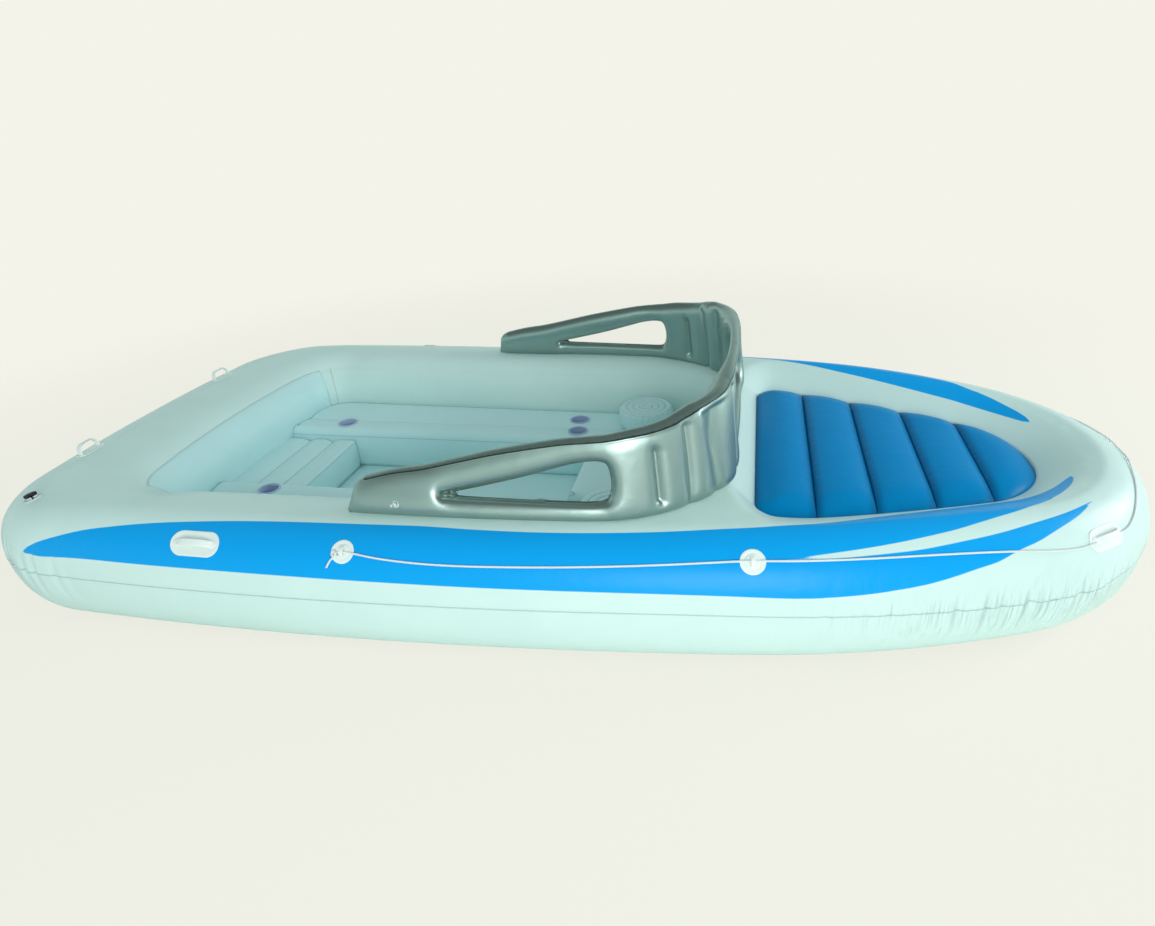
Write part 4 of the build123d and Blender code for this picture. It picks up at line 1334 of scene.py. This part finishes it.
def strap(path, width, thick, across=None):
    """Flat points and faces of a band with rounded edges along a path of (run, height) pairs.

    The band runs along the first measure and its width lies along the second, or the other way
    round for across.
    """
    path = smooth_line(path, 5)
    ahead = np.gradient(path, axis=0)
    ahead /= np.linalg.norm(ahead, axis=1)[:, None]
    normal = np.stack([-ahead[:, 1], ahead[:, 0]], -1)
    angle = (np.arange(16) + 0.5) * np.pi / 8
    c, s = np.cos(angle), np.sin(angle)
    wide = width / 2 * np.sign(c) * np.abs(c) ** 0.35
    tall = thick / 2 * np.sign(s) * np.abs(s) ** 0.8
    spots = path[:, None] + normal[:, None] * tall[None, :, None]
    wide = np.broadcast_to(wide, spots.shape[:2])
    grid = np.stack([spots[..., 0], wide, spots[..., 1]] if not across else [wide, spots[..., 0], spots[..., 1]], -1)
    number = np.arange(grid.shape[0] * 16).reshape(-1, 16)
    faces = grid_faces(16, len(path), True)
    faces = (faces % len(path)) * 16 + faces // len(path)
    return grid.reshape(-1, 3), [faces, number[:1], number[-1:, ::-1]]


def joined_parts(parts):
    """One array of points and one list of faces from several shapes, each facing outwards."""
    points, faces, base = [], [], 0
    for p, shape in parts:
        if volume(p, shape) < 0:
            shape = [f[:, ::-1] for f in shape]
        points.append(p)
        faces += [f + base for f in shape]
        base += len(p)
    return np.concatenate(points), faces


def fitting(name, lay, parts, material, replaces=()):
    """Piece made of several flat shapes that are laid on the skin, each turned to face outwards."""
    laid = [(lay(p), shape) for p, shape in parts]
    points, faces = joined_parts(laid)
    return make_piece(name, points, faces, material, joined=False, replaces=replaces)


# %% Rope patches and handles
def pad_profile(radius, thick, lip):
    """Profile of a moulded pad: flat underside, rounded edge, a low lip and a thinner middle."""
    return [(2, -1.0), (radius - 2, -1.0), (radius - 0.6, 0.0), (radius, thick * 0.5), (radius - 0.8, thick * 0.9),
            (radius - 2.5, thick), (radius - lip, thick), (radius - lip - 2, thick * 0.7), (2, thick * 0.75)]


for side, label in ((1, "port"), (-1, "starboard")):
    for number, (way, height) in enumerate([(3564.8, 479.0), (2083.1, 476.5)], 1):
        arch = strap([(-21, 0.5), (-17, 8), (-9, 13.0), (0, 14.5), (9, 13.0), (17, 8), (21, 0.5)], 15.0, 3.0, True)
        disc = turned(pad_profile(45.0, 3.0, 9.0), 72)[:2]
        boss = turned([(2, 1.5), (27, 1.5), (27.5, 3.4), (26, 4.4), (23, 4.6), (2, 4.6)], 48)[:2]
        fitting("rope_patch_moulded_%d_%s" % (number, label), on_skin(way, height, side), [disc, boss, arch],
                FITTING_VINYL, ("rope_patch_%d_%s" % (number, label),))
    for kind, way, height, radius, run, lift in (("side", 4184.9, 476.7, 50.0, 57.0, 24.0),
                                                 ("bow", 775.0, 427.0, 42.0, 50.0, 22.0)):
        pad = turned(pad_profile(radius, 3.2, 7.0), 96, run)[:2]
        reach = run + radius * 0.45
        path = [(-reach, 0.0), (-reach * 0.86, lift * 0.45), (-reach * 0.5, lift * 0.9), (0, lift),
                (reach * 0.5, lift * 0.9), (reach * 0.86, lift * 0.45), (reach, 0.0)]
        grip = strap(path, 26.0, 5.0)
        foot, foot_faces = turned([(2, 1.0), (15, 1.0), (15.5, 3.5), (13, 5.0), (2, 5.2)], 40)[:2]
        feet = [(foot + [x * (reach - 2), 0, 0], foot_faces) for x in (-1, 1)]
        fitting("%s_handle_moulded_%s" % (kind, label), on_skin(way, height, side), [pad, grip] + feet,
                FITTING_VINYL, ("%s_handle_%s" % (kind, label),))
    pad = turned(pad_profile(34.0, 3.0, 6.0), 80, 48.0)[:2]
    path = [(-61, 0.0), (-58, 14), (-54, 29), (-38, 43), (-30, 45), (30, 45), (38, 43), (54, 29), (58, 14), (61, 0.0)]
    fitting("stern_handle_moulded_" + label, on_skin(5915.0, 508.0, side), [pad, strap(path, 24.0, 5.0)],
            FITTING_VINYL, ("stern_handle_" + label,))

    arch = strap([(-12, 0.5), (-10, 8), (-5, 12.5), (0, 13.5), (5, 12.5), (10, 8), (12, 0.5)], 9.0, 2.5, True)
    foot = turned([(2, -1), (16, -1), (16.5, 0.5), (15, 1.8), (2, 1.8)], 48)[:2]
    fitting("bow_eye_" + label, on_skin(107.0, 469.0, side), [foot, arch], FITTING_VINYL)

# %% Valves
lay = on_skin(5240.0, 513.5, -1)
ring = turned([(2, -1), (38, -1), (39, 1), (38, 4), (33, 6), (29, 4.5), (26, 2.5), (2, 2.5)], 80)[:2]
stem = turned([(2, 2.6), (23, 2.6), (23.5, 6), (22.5, 12), (21, 13), (2, 13)], 64)[:2]
fitting("hull_valve_ring", lay, [ring, stem], CLEAR_MOULDED, ("hull_valve_base",))
cap, cap_faces, angle, radius = turned(
    [(2, 13.3), (21.5, 13.3), (22.8, 14.5), (22.8, 23.5), (21.5, 25.5), (18, 26.5), (2, 26.0)], 144)
ridges = 1.0 + 0.035 * np.sign(np.sin(24 * angle)) * (radius > 21)
cap[:, :2] *= ridges[:, None]
tether = strap([(22, 15), (30, 17), (38, 11), (36, 5)], 6.0, 1.6)
fitting("hull_valve_cap_ridged", lay, [(cap, cap_faces), tether], CAP_BLACK, ("hull_valve_cap",))


def on_screen(way, height, side):
    """Function that lays flat points on the outer face of the windscreen."""
    def lay(points):
        p = np.atleast_2d(points)
        spots = np.stack([-side * (way - p[:, 0]), height - SCREEN_FOOT + p[:, 1]], -1)
        return bend_screen(spots, SCREEN_HALF + p[:, 2] - 1.0)
    return lay


ring = turned([(1, -2), (13, -2), (13.5, 1), (12, 3), (9, 3.5), (8, 2), (1, 2)], 48)[:2]
stem = turned([(1, 1.9), (6, 1.9), (6, 11), (5.2, 12), (1, 12)], 32)[:2]
plug, plug_faces = turned([(1, 5), (5, 5), (5.5, 12), (4.5, 15), (1, 15)], 32)[:2]
plug = (plug + [-15.0, -6.0, -3.0], plug_faces)
tether = strap([(-15, 6), (-11, 8), (-6, 7), (-4, 4)], 3.0, 1.2)
fitting("windscreen_valve", on_screen(1908.0, 580.0, -1), [ring, stem, plug, tether], CLEAR_MOULDED)

# %% [markdown]
# ## Grab rope
# One laid rope of three strands runs from a knot at the first patch, through every eye and handle,
# round the bow and back to the other side. Its line is a smooth spline through the places where the
# rope is held and where it hangs, and the strands turn round that line.

# %% Grab rope
# Way back from the middle of the bow along the plan, and height
ROPE_ROUTE = [(3602, 468), (3578, 478), (3532, 476), (3406, 461), (3186, 451), (2926, 453), (2674, 458), (2421, 466),
              (2220, 474), (2123, 477), (2048, 477), (1914, 475), (1688, 473), (1436, 468), (1197, 453), (1044, 434),
              (929, 423), (859, 424), (775, 427), (719, 424), (652, 418), (580, 428), (489, 446), (340, 463),
              (204, 471), (107, 469), (30, 468)]
# Ways at which an eye or a strap holds the rope off the skin
HELD = (3578, 2123, 2048, 775, 107)
ROPE = 8.0
LAY = 26.0


def spline_points(route, steps):
    """Points on a NURBS spline of order 3 whose control points are the route's, in mm."""
    data = bpy.data.curves.new("route", "CURVE")
    data.dimensions = "3D"
    data.resolution_u = steps
    spline = data.splines.new("NURBS")
    spline.points.add(len(route) - 1)
    spline.points.foreach_set("co", np.concatenate([route / 1000.0, np.ones((len(route), 1))], 1).ravel())
    spline.order_u = 3
    spline.use_endpoint_u = True
    guide = bpy.data.objects.new("route", data)
    mesh = bpy.data.meshes.new_from_object(guide)
    line = np.empty(3 * len(mesh.vertices))
    mesh.vertices.foreach_get("co", line)
    for thing, store in ((guide, bpy.data.objects), (mesh, bpy.data.meshes), (data, bpy.data.curves)):
        store.remove(thing)
    return line.reshape(-1, 3) * 1000.0


def laid_rope(line, strands=3, sides=8):
    """Strands that turn round a line once in each LAY, each a tube of its own with closed ends."""
    run = np.linalg.norm(np.diff(line, axis=0), axis=1)
    reach = np.concatenate([[0.0], np.cumsum(run)])
    count = int(reach[-1] / 4.0)
    at = np.linspace(0, reach[-1], count)
    line = np.stack([np.interp(at, reach, line[:, i]) for i in range(3)], -1)
    ahead = np.gradient(line, axis=0)
    ahead /= np.linalg.norm(ahead, axis=1)[:, None]
    side = np.cross(ahead, [0.0, 0.0, 1.0])
    side /= np.linalg.norm(side, axis=1)[:, None]
    up = np.cross(side, ahead)
    inner, thick = ROPE / 2 * 0.52, ROPE / 2 * 0.50
    parts = []
    for k in range(strands):
        turn = 2 * np.pi * (at / LAY + k / strands)
        centre = line + inner * (side * np.cos(turn)[:, None] + up * np.sin(turn)[:, None])
        a = (np.arange(sides) * 2 * np.pi / sides)[None, :, None]
        tube = centre[:, None] + thick * (side[:, None] * np.cos(a) + up[:, None] * np.sin(a))
        number = np.arange(count * sides).reshape(count, sides)
        quads = grid_faces(count, sides, False)
        last = np.stack([number[:-1, -1], number[1:, -1], number[1:, 0], number[:-1, 0]], -1)
        parts.append((tube.reshape(-1, 3), [quads, last, number[:1, ::-1], number[-1:]]))
    return joined_parts(parts), reach[-1]


port = np.concatenate([on_skin(way, height, 1)([[0.0, 0.0, 9.0 if way in HELD else 5.5]])
                       for way, height in ROPE_ROUTE])
route = np.concatenate([port, port[::-1] * [1.0, -1.0, 1.0]])
(points, faces), rope_length = laid_rope(spline_points(route, 12))
print("grab rope:", round(rope_length), "mm long")
make_piece("grab_rope_laid", points, faces, ROPE_FIBRE, joined=False, replaces=("grab_rope",))

KNOT = np.array([(26, -6, 6), (10, -4, 8), (-6, -12, 10), (-12, 4, 14), (2, 10, 15), (10, -4, 17), (0, -12, 14),
                 (-10, -2, 8), (0, 8, 6), (9, 2, 12), (-4, -14, 10), (-16, -22, 6), (-24, -36, 5), (-31, -50, 5)], float)
for side, label in ((1, "port"), (-1, "starboard")):
    line = spline_points(on_skin(3590.0, 470.0, side)(KNOT), 12)
    (points, faces), _ = laid_rope(line)
    make_piece("grab_rope_knot_" + label, points, faces, ROPE_FIBRE, joined=False)

# %% [markdown]
# ## CAD parts that stay
# The cups are moulded and stiff, so their CAD solids are right as they are and only get their
# finish. The floor under the sunpad stays too, out of sight.

# %% Finishes of the CAD parts
for name in frame["nodes"]:
    if name.startswith("cup_holder"):
        bpy.data.objects[name].material_slots[0].material = CUP_PLASTIC
    if name == "bow_floor":
        bpy.data.objects[name].material_slots[0].material = WELL_VINYL

# %% [markdown]
# ## Stage and light
# A pale floor, an even sky, a large soft lamp like a window off the starboard side and a smaller
# one ahead of the bow.

# %% Stage
BACKGROUND = "#F4F3E9"


def backdrop():
    """Floor whose colour is the background's, fading into the world far away."""
    material, tree, place = fresh("pale_floor")
    ray = node(tree, "ShaderNodeLightPath")
    matt = node(tree, "ShaderNodeBsdfDiffuse", in_Color=linear(BACKGROUND)).outputs[0]
    glow = node(tree, "ShaderNodeEmission", in_Color=linear(BACKGROUND)).outputs[0]
    shown = layered(tree, worked(tree, "MULTIPLY", ray.outputs["Is Camera Ray"], 0.82), matt, glow)
    far = node(tree, "ShaderNodeVectorMath", {0: place}, operation="LENGTH").outputs["Value"]
    faded = ramp(tree, far, in_From_Min=3.2, in_From_Max=6.5, interpolation_type="SMOOTHSTEP")
    clear = node(tree, "ShaderNodeBsdfTransparent").outputs[0]
    node(tree, "ShaderNodeOutputMaterial", {"Surface": layered(tree, faded, shown, clear)})
    size = 8.0
    mesh = bpy.data.meshes.new("floor")
    mesh.from_pydata([(-size, -size, -0.001), (size, -size, -0.001), (size, size, -0.001), (-size, size, -0.001)],
                     [], [(0, 1, 2, 3)])
    mesh.materials.append(material)
    floor = bpy.data.objects.new("floor", mesh)
    bpy.context.scene.collection.objects.link(floor)


def sky():
    """Even light from all round that the camera sees as the background."""
    world = bpy.data.worlds.new("studio")
    bpy.context.scene.world = world
    world.use_nodes = True
    tree = world.node_tree
    tree.nodes.clear()
    ray = node(tree, "ShaderNodeLightPath").outputs
    seen = worked(tree, "MAXIMUM", ray["Is Camera Ray"], ray["Is Transmission Ray"])
    fill = node(tree, "ShaderNodeBackground", in_Color=linear("#E2F1F0"), in_Strength=0.62).outputs[0]
    # What glossy things mirror: a bright band of wall all round, darker above and below
    ahead = node(tree, "ShaderNodeNewGeometry").outputs["Incoming"]
    height = worked(tree, "ABSOLUTE", node(tree, "ShaderNodeSeparateXYZ", {"Vector": ahead}).outputs["Z"])
    shade = ramp(tree, height, in_From_Min=0.12, in_From_Max=0.62, in_To_Min=1.25, in_To_Max=0.22,
                 interpolation_type="SMOOTHSTEP")
    room = node(tree, "ShaderNodeBackground", {"Strength": shade}, in_Color=linear("#C6DBD6")).outputs[0]
    shown = node(tree, "ShaderNodeBackground", in_Color=linear(BACKGROUND), in_Strength=1.0).outputs[0]
    surface = layered(tree, seen, layered(tree, ray["Is Glossy Ray"], fill, room), shown)
    node(tree, "ShaderNodeOutputWorld", {"Surface": surface})


def lamp(name, place, aim, size, power, colour="#FFFFFF"):
    """Square soft lamp that points from place to aim."""
    data = bpy.data.lights.new(name, "AREA")
    data.size = size
    data.energy = power
    data.color = linear(colour)[:3]
    light = bpy.data.objects.new(name, data)
    light.location = place
    light.rotation_euler = (Vector(aim) - Vector(place)).to_track_quat("-Z", "Y").to_euler()
    bpy.context.scene.collection.objects.link(light)


backdrop()
sky()
lamp("window", (2.4, -7.6, 2.3), (0.2, 0.0, 0.3), 3.6, 295.0)
lamp("bow_window", (7.0, 1.6, 2.6), (-1.9, 0.0, 0.4), 2.4, 170.0)
bpy.context.scene.view_settings.view_transform = "Standard"
